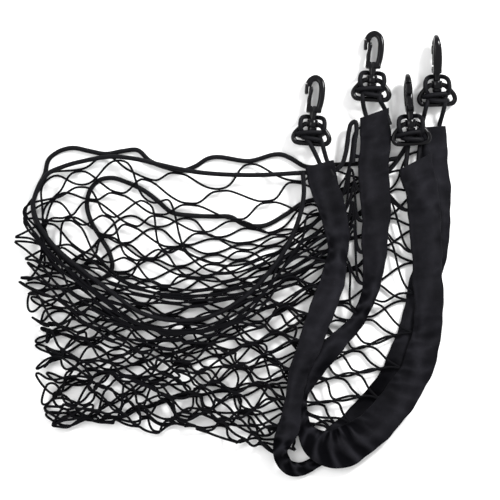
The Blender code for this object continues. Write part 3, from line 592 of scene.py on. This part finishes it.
def add_sleeve(name, chosen, seed, turn, mouths, shaded_twist):
    grid, line, length, crease_shade = sleeve_grid(chosen, seed, turn, mouths, shaded_twist)
    piece = add_surface(name, spot(grid)[None], CLOTH, capped=False, crease_shade=crease_shade)
    wall = piece.modifiers.new("cloth", "SOLIDIFY")
    wall.thickness = CLOTH_THICKNESS
    wall.offset = -1.0
    print(name, "is", round(length), "mm long and", round(float(line[:, 3].mean()), 1), "mm wide")
    return piece, length


TURN_A, TURN_B = 0.47, 0.45  # share of the length at which the seam changes edges
TWIST_SHADE_A, TWIST_SHADE_B = (0.62, 0.07), (0.375, 0.04)  # where shade is painted over one side of a sleeve at its twist: share, spread
sleeve_a, length_a = add_sleeve("sleeve_a_cloth", SLEEVE_A, 3, TURN_A, MOUTHS_A, TWIST_SHADE_A)
sleeve_b, length_b = add_sleeve("sleeve_b_cloth", SLEEVE_B, 8, TURN_B, MOUTHS_B, TWIST_SHADE_B)
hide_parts("sleeve_a")
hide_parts("sleeve_b")

# %% [markdown]
# ## The edge cords
#
# Two thick elastic cords hem the open edges. Each runs from one end of sleeve A to the fold at the
# far left, and back to the same end of sleeve B.

# %% Where the edge cords lie: right, down, up
EDGE_1_TO_FOLD = [
    (302.6, 172, 15.6),
] + raised(15.2, [
    (303.5, 195), (290, 240), (273, 267), (240, 300), (213, 315), (187, 320), (143, 313), (110, 290),
    (83, 270), (50, 240),
]) + [
    (36, 215, 16.4), (34, 203, 16.4),
]
EDGE_1_FROM_FOLD = [
    (34, 203, 16.4), (40, 187, 15.8), (48, 175, 14.4), (64, 167, 12), (86, 161, 10.9),
    (112, 157, 10.9), (137, 159.5, 10.9), (160, 165, 10.9), (191, 171.5, 10.9), (250, 175.4, 10.9),
    (305, 173, 10.5), (332, 172, 10.4), (341, 165.5, 10.9), (345, 155, 10.9), (347, 143, 10.9),
    (348.5, 132, 11), (351, 124, 11.2), (354.5, 122, 11.3), (356, 128, 11.3), (354.6, 140, 11.1),
    (353.6, 151, 10.9), (352.6, 163, 10.9),
]
EDGE_2_TO_FOLD = raised(2.3, [
    (413.2, 133), (408, 143), (400, 156), (390, 169), (375, 180), (352, 190), (328, 197), (303, 203),
    (285, 215), (262, 226), (243, 224), (231, 217), (215, 216.5), (191, 215.5), (171, 212), (159, 202),
    (143, 190), (126, 182), (112, 178), (100, 180), (91, 189), (87, 204), (91, 221), (101, 238),
    (110, 254), (112, 269), (101, 279), (84, 275),
])
EDGE_2_FROM_FOLD = raised(2.3, [
    (84, 275), (66, 260), (50, 244), (38.5, 227), (33, 206), (38, 188), (45, 174), (49, 159.5),
    (59, 151.5), (72, 148), (89, 151), (105, 154), (124, 151), (137, 150), (150, 161), (166, 167.5),
    (183, 170.6), (196, 166), (207, 159), (250, 161), (283, 155), (290, 158), (305, 166.5), (332, 165),
    (356, 163.8),
]) + [
    (372, 163, 2.4), (380, 162.2, 3), (386, 161, 4.8), (391, 159.5, 7.2), (396.6, 158.5, 9),
]
EDGE_CORD_RADIUS = 2.3
EDGE_CORD_POINTS = 260  # in each half
EDGE_CORD_AROUND = 14

EDGE_LINES = []
for halves in ((EDGE_1_TO_FOLD, EDGE_1_FROM_FOLD), (EDGE_2_TO_FOLD, EDGE_2_FROM_FOLD)):
    to_fold, from_fold = (smooth_line(half, EDGE_CORD_POINTS) for half in halves)
    EDGE_LINES.append(np.vstack([to_fold[:-1], from_fold]))
for number, line in enumerate(EDGE_LINES, 1):
    grid = round_tubes(spot(line)[None], EDGE_CORD_RADIUS * MM, EDGE_CORD_AROUND)
    cord = add_surface(f"edge_cord_{number}_braid", grid, BRAID)
    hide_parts(f"edge_cord_{number}")
    print(cord.name, "is", round(length_of(line)), "mm long")

# %% [markdown]
# ## The net as a map
#
# The net is one flat sheet, folded twice, and a map says where every point (u, v) of it lies. u runs
# along the sleeves, from edge cord 1 to edge cord 2, and v runs from sleeve A to sleeve B. A few
# drawn rows carry the map, and it is smooth between them.

# %% Rows of the net: right and down, at even steps of u
# A row has its places on the way to the fold, its place there, its places on the way back, and a
# crowding, which above 1 draws the columns of the way back towards the fold
NET_STATIONS = [
    ([(296, 246), (279, 272), (246, 306), (216, 322), (187, 327.5), (140, 320.5), (104, 296.5),
     (77, 276), (43, 247)], (24, 206),
     [(44, 187), (66, 174.5), (87, 168), (112, 164), (137, 166.5), (160, 177), (174, 208),
      (190, 248), (222, 265), (250, 258), (272, 248), (293, 235), (320, 212), (342, 184),
      (351, 148)], 1),
    ([(294, 262), (250, 309), (193, 331.5), (138, 325), (103, 301), (62, 265)], (17, 222),
     [(52, 216), (84, 240), (112, 264), (148, 281), (188, 285), (228, 281), (262, 270), (290, 255),
      (315, 239), (335, 222), (346, 204), (350.5, 186), (353, 168)], 1),
    ([(245, 324), (190, 338), (130, 327)], (20, 268),
     [(90, 274), (145, 292), (200, 297), (250, 290), (290, 275), (318, 261), (340, 246), (349, 228),
      (352.5, 206)], 1),
    ([(187, 357)], (27, 320), [(110, 304), (180, 309), (250, 303), (305, 289), (343, 268)], 1),
    ([(183, 392)], (37, 376), [(176, 354)], 1),
    ([(178, 428)], (46, 419), [(176, 420)], 1),
    ([(180, 388)], (42, 396), [(176, 381)], 1),
    ([(182, 349)], (33, 350), [(172, 334)], 1),
    ([(180, 309)], (28, 306), [(170, 284)], 1.12),
    ([(180, 266)], (32, 272),
     [(42, 240), (62, 216), (99, 212), (141, 226), (200, 230), (260, 233), (340, 222),
      (383, 197)], 1.27),
    ([(392, 177), (353, 197), (305, 209), (286, 221), (262, 231), (240, 231), (212, 229),
     (188, 222), (160, 214), (132, 214), (108, 222), (97, 240), (93, 260)], (75, 284),
     [(46, 226), (41, 207), (45, 190), (56, 164), (72, 156), (105, 162), (137, 160), (166, 176),
      (195, 177), (250, 169), (283, 165), (305, 173.5), (332, 172), (372, 171)], 1),
]
# Where the net meets each sleeve: u, share of the sleeve's length, side, up
SEAM_A = [(0, 0.063, 1, 15.4), (0.44, 0.395, 1, 15.4), (0.56, 0.52, -1, 2.4), (1, 0.966, -1, 2.4)]
SEAM_B = [(0, 0.02, 1, 11.2), (0.44, 0.394, 1, 10.8), (0.56, 0.487, -1, 7.1), (1, 0.976, -1, 7.1)]
# A sleeve, its seam, and where the seam lies at the fold along the net
SEAMS = ((SLEEVE_A, SEAM_A, (281, 444, 6.5)), (SLEEVE_B, SEAM_B, (290, 428, 6)))
SEAM_REACH = 5.2  # from a sleeve's edge to the map's end
LAYERS_UP = ((15.0, 10.6), (1.2, 6.4))  # sleeve A's half and B's, by edge cord 1 and by cord 2
FOLD_HALF_U, FOLD_HALF_V = 0.045, 0.04  # half the share of u and of v that a fold takes
SELVEDGE_FADE = 0.14
ROW_POINTS = 113
NET_ROWS = 38
NET_COLUMNS = 26


# %% The map
def seam_places(u, sleeve, seam, at_fold, reach=SEAM_REACH):
    """Where the rows at u end beside a sleeve: centre + side (half width + reach)."""
    line = smooth_line(sleeve, SLEEVE_LINE_POINTS)
    sides = across(line)
    seam = np.asarray(seam)
    share = np.interp(u, seam[:, 0], seam[:, 1]) * (len(line) - 1)
    side = np.where(u < 0.5, seam[0, 2], seam[-1, 2])
    middle, normal = (columns_at(share, np.arange(len(line)), table) for table in (line, sides))
    places = middle[:, :3].copy()
    places[:, :2] += (side * (middle[:, 3] / 2 + reach))[:, None] * normal
    places[:, 2] = np.interp(u, seam[:, 0], seam[:, 3])
    away = np.clip(np.abs(u - 0.5) / (0.5 - seam[1, 0]), 0, 1)[:, None]
    return np.where(away < 1.0, np.asarray(at_fold) * (1 - away) + places * away, places)


def layer_up(u, v):
    """How high the net lies: four flat layers, joined by an S at each fold."""
    along = smooth_step((u - 0.5) / (2 * FOLD_HALF_U) + 0.5)
    over = smooth_step((v - 0.5) / (2 * FOLD_HALF_V) + 0.5)
    (first_a, first_b), (last_a, last_b) = LAYERS_UP
    first = first_a * (1 - over) + first_b * over
    last = last_a * (1 - over) + last_b * over
    return first * (1 - along) + last * along


class NetMap:
    """at(u, v) gives places on the layout sheet.

    A row is a smooth curve from sleeve A through the fold to sleeve B, and a place is a cubic blend of
    the four nearest rows. Close to a sleeve the rows bend to end on its seam.
    """

    def __init__(self):
        self.u = np.linspace(0.0, 1.0, len(NET_STATIONS))
        rows = []
        for u, station, start, end in zip(self.u, NET_STATIONS, *self.ends(self.u)):
            to_fold, fold, from_fold, crowding = station
            first, middle, last = (float(layer_up(u, v)) for v in (0.25, 0.5, 0.75))
            fold = (*fold, middle)
            to_fold = [start, *raised(first, to_fold), fold]
            from_fold = [fold, *raised(last, from_fold), end]
            halves = [smooth_line(half, ROW_POINTS // 2 + 1) for half in (to_fold, from_fold)]
            index = np.arange(len(halves[1]))
            share = (index / index[-1]) ** crowding * index[-1]
            rows.append(np.vstack([halves[0][:-1], columns_at(share, index, halves[1])]))
        self.rows = np.stack(rows)
        self.v = np.linspace(0.0, 1.0, self.rows.shape[1])

    def ends(self, u):
        return [seam_places(u, *seam) for seam in SEAMS]

    def row_blend(self, u, v):
        before = 2 * self.rows[:1] - self.rows[1:2]
        after = 2 * self.rows[-1:] - self.rows[-2:-1]
        padded = np.concatenate([before, self.rows, after])
        scaled = np.clip(u * (len(self.u) - 1), 0.0, len(self.u) - 1 - 1e-9)
        base = scaled.astype(int)
        part = (scaled - base)[:, None]
        place = v * (len(self.v) - 1)
        left = np.clip(place.astype(int), 0, len(self.v) - 2)
        share = (place - left)[:, None]
        rows = [base + n for n in range(4)]
        near = [padded[row, left] * (1 - share) + padded[row, left + 1] * share for row in rows]
        return 0.5 * (
            2 * near[1]
            + (near[2] - near[0]) * part
            + (2 * near[0] - 5 * near[1] + 4 * near[2] - near[3]) * part**2
            + (3 * near[1] - near[0] - 3 * near[2] + near[3]) * part**3
        )

    def at(self, u, v):
        shape = np.broadcast(u, v).shape
        u = np.clip(np.broadcast_to(u, shape).ravel().astype(float), 0, 1)
        v = np.clip(np.broadcast_to(v, shape).ravel().astype(float), 0, 1)
        places = self.row_blend(u, v)
        places[:, 2] = layer_up(u, v)
        for edge, side, ends in zip((v, 1 - v), (0.0, 1.0), self.ends(u)):
            start = self.row_blend(u, np.full_like(u, side))
            start[:, 2] = layer_up(u, np.full_like(u, side))
            places += (ends - start) * smooth_step(1 - edge / SELVEDGE_FADE)[:, None]
        return places.reshape(*shape, 3)


net = NetMap()

# %% [markdown]
# ## The cords of the net
#
# A knotless net is made of long cords that run from side to side in a zigzag. Each meets its left
# neighbour, lies beside it for a finger's width, crosses the cell on a slant and meets its right
# neighbour. So every joint is two cords side by side, and no knot is needed.

# %% Slack and uneven cells
CORD_RADIUS = 1.0  # beside its neighbour in a joint
# An elastic cord is thicker where it is slack: radius at a short and at a long half column
SLACK_COLUMN, SLACK_RADIUS = 14.0, 1.4
TAUT_COLUMN, TAUT_RADIUS = 34.0, 1.15
CALM_COLUMNS, TAUT_CALM = (20.0, 30.0), 0.8  # stretched cells lie even
WAVES, WAVE_HEIGHT, WAVE_FALL = 16, 4.2, 0.22  # how many move whole patches, and how they shrink
OWN_SHIFT = (3.4, 2.3)  # of each joint
FADES = (14, 9)  # how soon the slack sets in, from the hems and from the seams
HEM_NEAR, HEM_NEAR_RANGE = 0.35, 0.6  # how near its joint a cord is drawn to the hem
HEM_LET_GO, HEM_LET_GO_RANGE = 24.0, 16.0  # farther off, the net has slid off its edge cord
HEM_EASE = 1.4
CORD_SAMPLES = 10  # in each half column
CORD_AROUND = 7
TAUT = 0.7  # how many samples a cord's bends are eased over
FOLD_EASE, FOLD_EASE_HALF = 3.0, 0.07  # and more of them where the net turns over
FOLD_SLIP, FOLD_SLIP_HALF = 9.0, 0.09  # millimetres, and over which share of v
END_EASE, END_SAMPLES = 2.5, 16  # and where it meets a seam
END_INSIDE, END_STEPS = -3.0, 4  # each cord goes on into the seam, past the sleeve's edge
JOINT_SHARE = 0.19  # of a half column that lies beside the neighbour, to each side of a joint


def slack(u, v):
    """Right and down shifts in millimetres, fading out at the seams and hems.

    Slow waves move whole patches of cells, and each joint has its own small shift. At the left fold
    one layer has slipped up and one down, so a cord turns over in an arc.
    """
    draw = np.random.default_rng(21)
    shift = np.zeros((*u.shape, 2))
    for count in range(WAVES):
        turns_u, turns_v = draw.uniform(1.5, 9.0), draw.uniform(1.0, 6.0)
        phase, heading = draw.uniform(0, 2 * np.pi, 2)
        tall = WAVE_HEIGHT / (1 + WAVE_FALL * count)
        wave = tall * np.sin(2 * np.pi * (turns_u * u + turns_v * v) + phase)
        shift += wave[..., None] * (np.cos(heading), np.sin(heading))
    own = draw.normal(0.0, 1.0, (NET_ROWS + 2, NET_COLUMNS + 2, 2)) * OWN_SHIFT
    row, column = u * NET_ROWS, v * NET_COLUMNS
    low_row, low_column = row.astype(int), column.astype(int)
    part_row = smooth_step(row - low_row)[..., None]
    part_column = smooth_step(column - low_column)[..., None]
    near_rows = (low_row, 1 - part_row), (low_row + 1, part_row)
    near_columns = (low_column, 1 - part_column), (low_column + 1, part_column)
    shift += sum(own[i, j] * row * column for j, column in near_columns for i, row in near_rows)
    from_fold = np.clip((v - 0.5) / FOLD_SLIP_HALF, -1.0, 1.0)
    shift[..., 1] += FOLD_SLIP * np.sin(np.pi * from_fold) * (1 - from_fold**2)
    fade = smooth_step(np.minimum(u, 1 - u) * FADES[0]) * smooth_step(np.minimum(v, 1 - v) * FADES[1])
    half = 0.5 / NET_COLUMNS
    column = np.linalg.norm(net.at(u, v + half) - net.at(u, v - half), axis=-1)
    calm = smooth_step((column - CALM_COLUMNS[0]) / (CALM_COLUMNS[1] - CALM_COLUMNS[0]))
    loose = 1 - TAUT_CALM * calm
    return shift * (fade * loose)[..., None]


def net_places(u, v):
    u, v = np.broadcast_arrays(np.clip(u, 0, 1), np.clip(v, 0, 1))
    places = net.at(u, v)
    places[..., :2] += slack(u, v)
    return places


# %% Zigzag cords
def zigzag(rows, columns):
    """Cord i runs at row i + s(t), where the wave s lies flat at 0 on row i and at 1 on row i + 1."""
    t = np.linspace(0.0, columns, columns * CORD_SAMPLES + 1)[None]
    cord = np.arange(rows)[:, None]
    phase = (t + cord) % 2.0
    climb = np.clip((1 - np.abs(phase - 1) - JOINT_SHARE) / (1 - 2 * JOINT_SHARE), 0, 1)
    return cord, t, 0.6 * climb + 0.4 * smooth_step(climb)


cord_number, t, climb = zigzag(NET_ROWS, NET_COLUMNS)
u = (cord_number + climb) / NET_ROWS
v = np.broadcast_to(t / NET_COLUMNS, u.shape)
paths = net_places(u, v)
STEP_U = 0.35 / NET_ROWS
sideways = unit(net_places(u + STEP_U, v) - net_places(u - STEP_U, v))
paths += sideways * (1 - 2 * climb)[..., None] * CORD_RADIUS


def eased(paths, width):
    """Each point becomes its neighbours' mean, weighed by a bell curve that is width samples wide."""
    reach = int(3 * width)
    weights = np.exp(-((np.arange(-reach, reach + 1) / width) ** 2) / 2)
    padded = np.pad(paths, ((0, 0), (reach, reach), (0, 0)), mode="reflect", reflect_type="odd")
    shifted = [padded[:, n : n + paths.shape[1]] * weight for n, weight in enumerate(weights)]
    return np.sum(shifted, axis=0) / weights.sum()


turning = smooth_step(1 - np.abs(v - 0.5) / FOLD_EASE_HALF)[..., None]
paths = eased(paths, TAUT) * (1 - turning) + eased(paths, FOLD_EASE) * turning

# %% Hems: the first and last cords touch the edge cords at their joints
HEM_REACH = EDGE_CORD_RADIUS + CORD_RADIUS
hems = ((0, EDGE_LINES[0], 1 - climb[0]), (NET_ROWS - 1, EDGE_LINES[1], climb[-1]))
for cord, line, near in hems:
    gaps = np.linalg.norm(paths[cord][:, None, :] - line[None, :, :3], axis=-1)
    target = line[gaps.argmin(axis=1), :3]
    away = paths[cord] - target
    gap = np.linalg.norm(away, axis=-1, keepdims=True)
    pull = smooth_step((near - HEM_NEAR) / HEM_NEAR_RANGE)[:, None]
    pull = pull * smooth_step((HEM_LET_GO - gap) / HEM_LET_GO_RANGE)
    paths[cord] += (target + away / np.maximum(gap, 1e-6) * HEM_REACH - paths[cord]) * pull
    paths[cord] = eased(paths[[cord]], HEM_EASE)[0]

# %% Ends: every cord goes into its sleeve's seam
inside = [seam_places(u[:, end], *SEAMS[end], reach=END_INSIDE)[:, None] for end in (0, -1)]
ease = np.linspace(0.0, 1.0, END_STEPS + 1)[None, 1:, None]
start = inside[0] * (1 - ease) + paths[:, :1] * ease
end = paths[:, -1:] * (1 - ease) + inside[1] * ease
paths = np.concatenate([start[:, :-1], paths, end], axis=1)
sample = np.arange(paths.shape[1])
at_end = smooth_step(1.2 - np.minimum(sample, sample[-1] - sample) / END_SAMPLES)[None, :, None]
paths = paths * (1 - at_end) + eased(paths, END_EASE) * at_end

step = np.linalg.norm(np.gradient(paths, axis=1), axis=-1, keepdims=True) * CORD_SAMPLES
column = eased(np.minimum(step, 3 * TAUT_COLUMN), 1.5 * CORD_SAMPLES)[..., 0]
radius = np.interp(column, (SLACK_COLUMN, TAUT_COLUMN), (SLACK_RADIUS, TAUT_RADIUS))
paths[..., 2] = np.maximum(paths[..., 2], radius + LOWEST)
net_grid = round_tubes(spot(paths), radius * MM, CORD_AROUND)
print("cord radius from", radius.min().round(2), "to", radius.max().round(2))
net_cords = add_surface("net_cords", net_grid, NET_CORD)
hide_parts("net")
cord_length = sum(length_of(path) for path in paths)
straight_rows = net_places(np.linspace(0.1, 0.9, 9)[:, None], v[:1])
net_width = float(np.mean([length_of(path) for path in straight_rows]))
print("net:", NET_ROWS, "cords,", round(cord_length), "mm in all; flat", round(net_width), "mm across")

# %% [markdown]
# ## Snap hooks
#
# A swivel snap hook is a ring with a round boss, a hook whose headed stem turns in the boss, and a
# gate on a pin in the hook's forked root. Each is a section carried along a line in the hook's own
# millimetres, with Y towards the arch, and a matrix puts it in its place.

# %% The hook's own shapes
RING_ROUTE = [
    (3, -8), (8, -9.4), (13.5, -14.6), (17, -19.5), (17.8, -23.5), (15.6, -27), (11.5, -28),
]
RING_BAR_RADIUS = 2.5
BOSS_PROFILE = [(3.5, -4.3), (5, -4.3), (5.5, -4.9), (5.5, -11.4), (5, -12), (3.5, -12)]
STEM_PROFILE = [
    (0.01, 5), (3.6, 5), (3.6, -3.6), (3.3, -3.9), (3.1, -4.2), (3.1, -12.4), (4.4, -12.4),
    (4.7, -12.7), (4.7, -14.9), (4.2, -15.8), (3.2, -16.4), (0.01, -16.5),
]
BAR_ROUTE = [
    (4.8, 5, 3, 4), (6.6, 14, 3.2, 4.5), (7.25, 24, 3.25, 4.4), (6.9, 30.4, 3.25, 3.9),
    (4.6, 35.8, 3.2, 3.1), (0.1, 38.2, 3.2, 2.6), (-4.6, 35.8, 3.2, 3), (-6.8, 31, 3.3, 3.5),
]
NOSE_ROUTE = [(-6.8, 31, 3.3, 3.5), (-7, 28.9, 3.2, 3.5)]
CATCH_ROUTE = [(-8.2, 31, 1.9, 3.5), (-8.3, 25.5, 1.9, 3.6), (-8.2, 21, 1.8, 3.4)]
GATE_ROUTE = [
    (0, 4.1, 2.1, 3.5), (0.1, 10.5, 2.15, 3.5), (0.65, 13.5, 1.85, 3.5), (0.9, 21.2, 2, 3.4),
    (0.6, 22.6, 1.6, 3),
]
TONGUE_ROUTE = [(0, -2, 1, 2), (0, -1, 1.85, 2), (0, 0.4, 2.1, 2), (0, 5, 2.1, 2)]
# The forked root: two corners of each block, and how square it is
ROOT_BLOCKS = [
    ((-1.3, 3, -4), (8, 9.5, 4), 7), ((-6.6, 3, -4), (-1, 4.1, 4), 7),
    ((-7.2, 3, 2.45), (-0.8, 9.4, 4), 3.2), ((-7.2, 3, -4), (-0.8, 9.4, -2.45), 3.2),
]
PIN_PLACE, PIN_HALF, PIN_RADIUS = (-4.9, 6.5), 4.15, 1.1
Hook = namedtuple("Hook", "origin heading pitch swivel over_bar mouth")
HOOKS = [
    Hook((312.8, 116.2, 9.1), 4.4, -6, 0, [(-2, -28, 5.9), (11, -28, 5.9)],
         [(318.3, 161.7, 16.2), (326.3, 160.6, 16.2)]),
    Hook((372, 72.2, 9.1), 3.5, -5, 0, [(-8.5, -28, 5.9), (8.5, -28, 5.9)],
         [(364, 111, 11.5), (384, 109.4, 11.5)]),
    Hook((409.1, 116, 14.3), -3.5, 0, 90, [(-3, -27, -6), (9, -27, -6)],
         [(407, 150.5, 9.4), (419, 149.1, 9.4)]),
    Hook((436, 77, 10.5), -1.5, 8, -84, [(-11, -28, 5.9), (7, -28, 5.9)],
         [(421.5, 125.8, 2.8), (439.5, 124.6, 2.8)]),
]
BUNGEE_RADIUS = 2.3
BUNGEE_IN_SLEEVE = 17.0
BUNGEE_KNOT = [(8.4, -20, 1.8), (11.9, -12, 6.1), (11.2, -4.2, 3.3), (6.3, -0.8, -3.9)]
BUNGEE_BEHIND = (0, -0.8, -6.5)
BUNGEE_AROUND = 14
# The hitch's outer turns: middle along, half across, half deep, lean along and shift across
HITCH_TURNS = [(-18.6, 12.8, 6.2, 1.7, -1.2), (-23.4, 9.4, 6.6, -1.3, 0.8)]
HITCH_POWER = 0.85


# %% Three ways to make a moulded shape
def soft_bar(route, count, boxiness=2.6, rounding=(0.9, 0.9), around=24):
    """A bar along a route of right, along, half width and half depth, with domed ends.

    The section is |x|^n + |z|^n = 1. Its size near an end is the share sqrt(1 - q^2), where q runs from
    0 to 1 over the last stretch.
    """
    line = smooth_line([(x, y, 0.0, wide, deep) for x, y, wide, deep in route], count)
    length = length_of(line)
    place = np.linspace(0.0, length, count)
    first, last = (max(dome, 1e-6) for dome in rounding)
    near = np.stack([1 - place / first, 1 - (length - place) / last])
    shrink = np.sqrt(1 - np.clip(near, 0.0, 0.995) ** 2).prod(axis=0)[:, None]
    angle = full_turn(around)[None]
    x = squared(np.cos(angle), 2 / boxiness) * line[:, 3, None] * shrink
    grid = np.empty((count, around, 3))
    grid[..., :2] = line[:, None, :2] + across(line)[:, None] * x[..., None]
    grid[..., 2] = squared(np.sin(angle), 2 / boxiness) * line[:, 4, None] * shrink
    return grid[None]


def turned(profile, around=32, closed=False):
    """A profile of radius and along, turned about the Y axis: (r cos a, y, r sin a)."""
    profile = np.asarray(profile, float)
    angle = -full_turn(around)[None]
    radius, along = profile.T[..., None]
    grid = np.stack([radius * np.cos(angle), along + 0 * angle, radius * np.sin(angle)], axis=-1)
    return (np.concatenate([grid, grid[:1]]) if closed else grid)[None]


def block(low, high, boxiness, around=32, layers=9):
    """A block with rounded edges, whose section across Z shrinks like a dome near its two faces."""
    low, high = np.asarray(low, float), np.asarray(high, float)
    middle, half = (low + high) / 2, (high - low) / 2
    lift = np.sin(np.linspace(-1, 1, layers) * np.pi / 2)
    shrink = np.clip(1 - np.abs(lift) ** 12, 0, 1) ** 0.35
    edge = np.maximum(shrink, 1 - 0.8 / half[:2].min())
    angle = full_turn(around)[None]
    x = half[0] * squared(np.cos(angle), 2 / boxiness) * edge[:, None]
    y = half[1] * squared(np.sin(angle), 2 / boxiness) * edge[:, None]
    return (middle + np.stack([x, y, half[2] * lift[:, None] + 0 * x], axis=-1))[None]


def placed(hook):
    turn = Matrix.Rotation(math.radians(-hook.heading), 4, "Z")
    tilt = Matrix.Rotation(math.radians(hook.pitch), 4, "X")
    return Matrix.Translation(spot(hook.origin)) @ turn @ tilt


def moved(grid, matrix):
    """A grid in millimetres, through a matrix in metres."""
    matrix = np.array(matrix)
    return grid * MM @ matrix[:3, :3].T + matrix[:3, 3]


# %% Ring, hook, gate and bungee
def ring_shapes():
    side = smooth_line([(x, y, 0.0) for x, y in RING_ROUTE], 40)
    route = np.vstack([side, side[::-1] * (-1, 1, 1)])
    return [round_tubes(route[None], RING_BAR_RADIUS, 20), turned(BOSS_PROFILE, 40, closed=True)]


def hook_shapes():
    pin = [[(*PIN_PLACE, z) for z in np.linspace(-PIN_HALF, PIN_HALF, 4)]]
    return [
        soft_bar(BAR_ROUTE, 90, rounding=(0.0, 0.8)),
        soft_bar(NOSE_ROUTE, 8, 3.0, rounding=(0.0, 0.7)),
        soft_bar(CATCH_ROUTE, 22, 2.8, rounding=(0.8, 0.9)),
        *[block(*corners) for corners in ROOT_BLOCKS],
        round_tubes(pin, PIN_RADIUS, 12),
        turned(STEM_PROFILE),
    ]


def gate_shapes():
    gate = soft_bar(GATE_ROUTE, 40, 3.4, rounding=(0.5, 0.7))
    tongue = soft_bar(TONGUE_ROUTE, 16, 4.0, rounding=(0.4, 0.0))
    return [grid + (*PIN_PLACE, 0.0) for grid in (gate, tongue)]


def bungee_line(hook, matrix, count=200):
    """Out of the sleeve, over the ring's bar, round its sides and behind the stem, and back."""
    knot = np.asarray(BUNGEE_KNOT)
    first, last = hook.over_bar
    inside = np.vstack([first, knot * (-1, 1, 1), BUNGEE_BEHIND, knot[::-1], last])
    inside = moved(inside, matrix) / MM
    mouths = np.array([spot(mouth) / MM for mouth in hook.mouth])
    heading = unit((mouths.mean(axis=0) - inside[[0, -1]].mean(axis=0)) * (1, 1, 0))
    ends = mouths + heading * BUNGEE_IN_SLEEVE
    return smooth_line([ends[0], mouths[0], *inside, mouths[1], ends[1]], count)


def hitch_turns(matrix, count=48):
    """Closed turns (a cos t, y + lean sin(t + 1), b sin t), a little squared off where they bend."""
    turn = full_turn(count)
    grids = []
    for along, across_half, deep_half, lean, shift in HITCH_TURNS:
        x = shift + across_half * squared(np.cos(turn), HITCH_POWER)
        z = deep_half * squared(np.sin(turn), HITCH_POWER)
        line = np.column_stack([x, along + lean * np.sin(turn + 1.0), z])
        ring = round_tubes(line[None], BUNGEE_RADIUS, BUNGEE_AROUND, closed=True)
        grids.append(moved(np.concatenate([ring, ring[:, :1]], axis=1), matrix))
    return grids


for number, hook in enumerate(HOOKS, 1):
    matrix = placed(hook)
    swivelled = matrix @ Matrix.Rotation(math.radians(hook.swivel), 4, "Y")
    mouldings = (
        ("ring", ring_shapes(), matrix, ROOT),
        ("hook", hook_shapes(), swivelled, f"swivel_{number}"),
        ("gate", gate_shapes(), swivelled, f"sprung_gate_{number}"),
    )
    for name, shapes, seat, body in mouldings:
        grids = [moved(grid, seat) for grid in shapes]
        piece = add_surface(f"{name}_{number}_moulding", grids, NYLON, body)
        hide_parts(f"{name}_{number}")
    line = bungee_line(hook, matrix)
    leg = round_tubes(line[None] * MM, BUNGEE_RADIUS * MM, BUNGEE_AROUND)
    grids = [leg, *hitch_turns(matrix)]
    loop = add_surface(f"bungee_{number}_braid", grids, BRAID)
    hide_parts(f"bungee_{number}")
    print("hook", number, "and its bungee,", round(length_of(line)), "mm long")

# %% [markdown]
# ## What the cloth was cut to
#
# The net's cords cover less than 0.3 of its flat size, so the larger of the two areas is taken as
# its least and printed. It takes an area from 0.3 of the flat size up. The net's cords cover less
# than that, so its least is declared.

LEAST_SHARE = 0.3
seam_share = SEAM_A[-1][1] - SEAM_A[0][1]
NET_FLAT = (round(seam_share * length_a * MM, 3), round(net_width * MM, 3))
net_area = NET_FLAT[0] * NET_FLAT[1]
cords_cover = 2 * float(radius.mean()) * cord_length * MM**2
declared = max(cords_cover, LEAST_SHARE * net_area)
shares = [round(area / net_area, 3) for area in (cords_cover, declared)]
print("net's flat size", NET_FLAT, "its cords cover", shares[0], "of it, declared", shares[1])
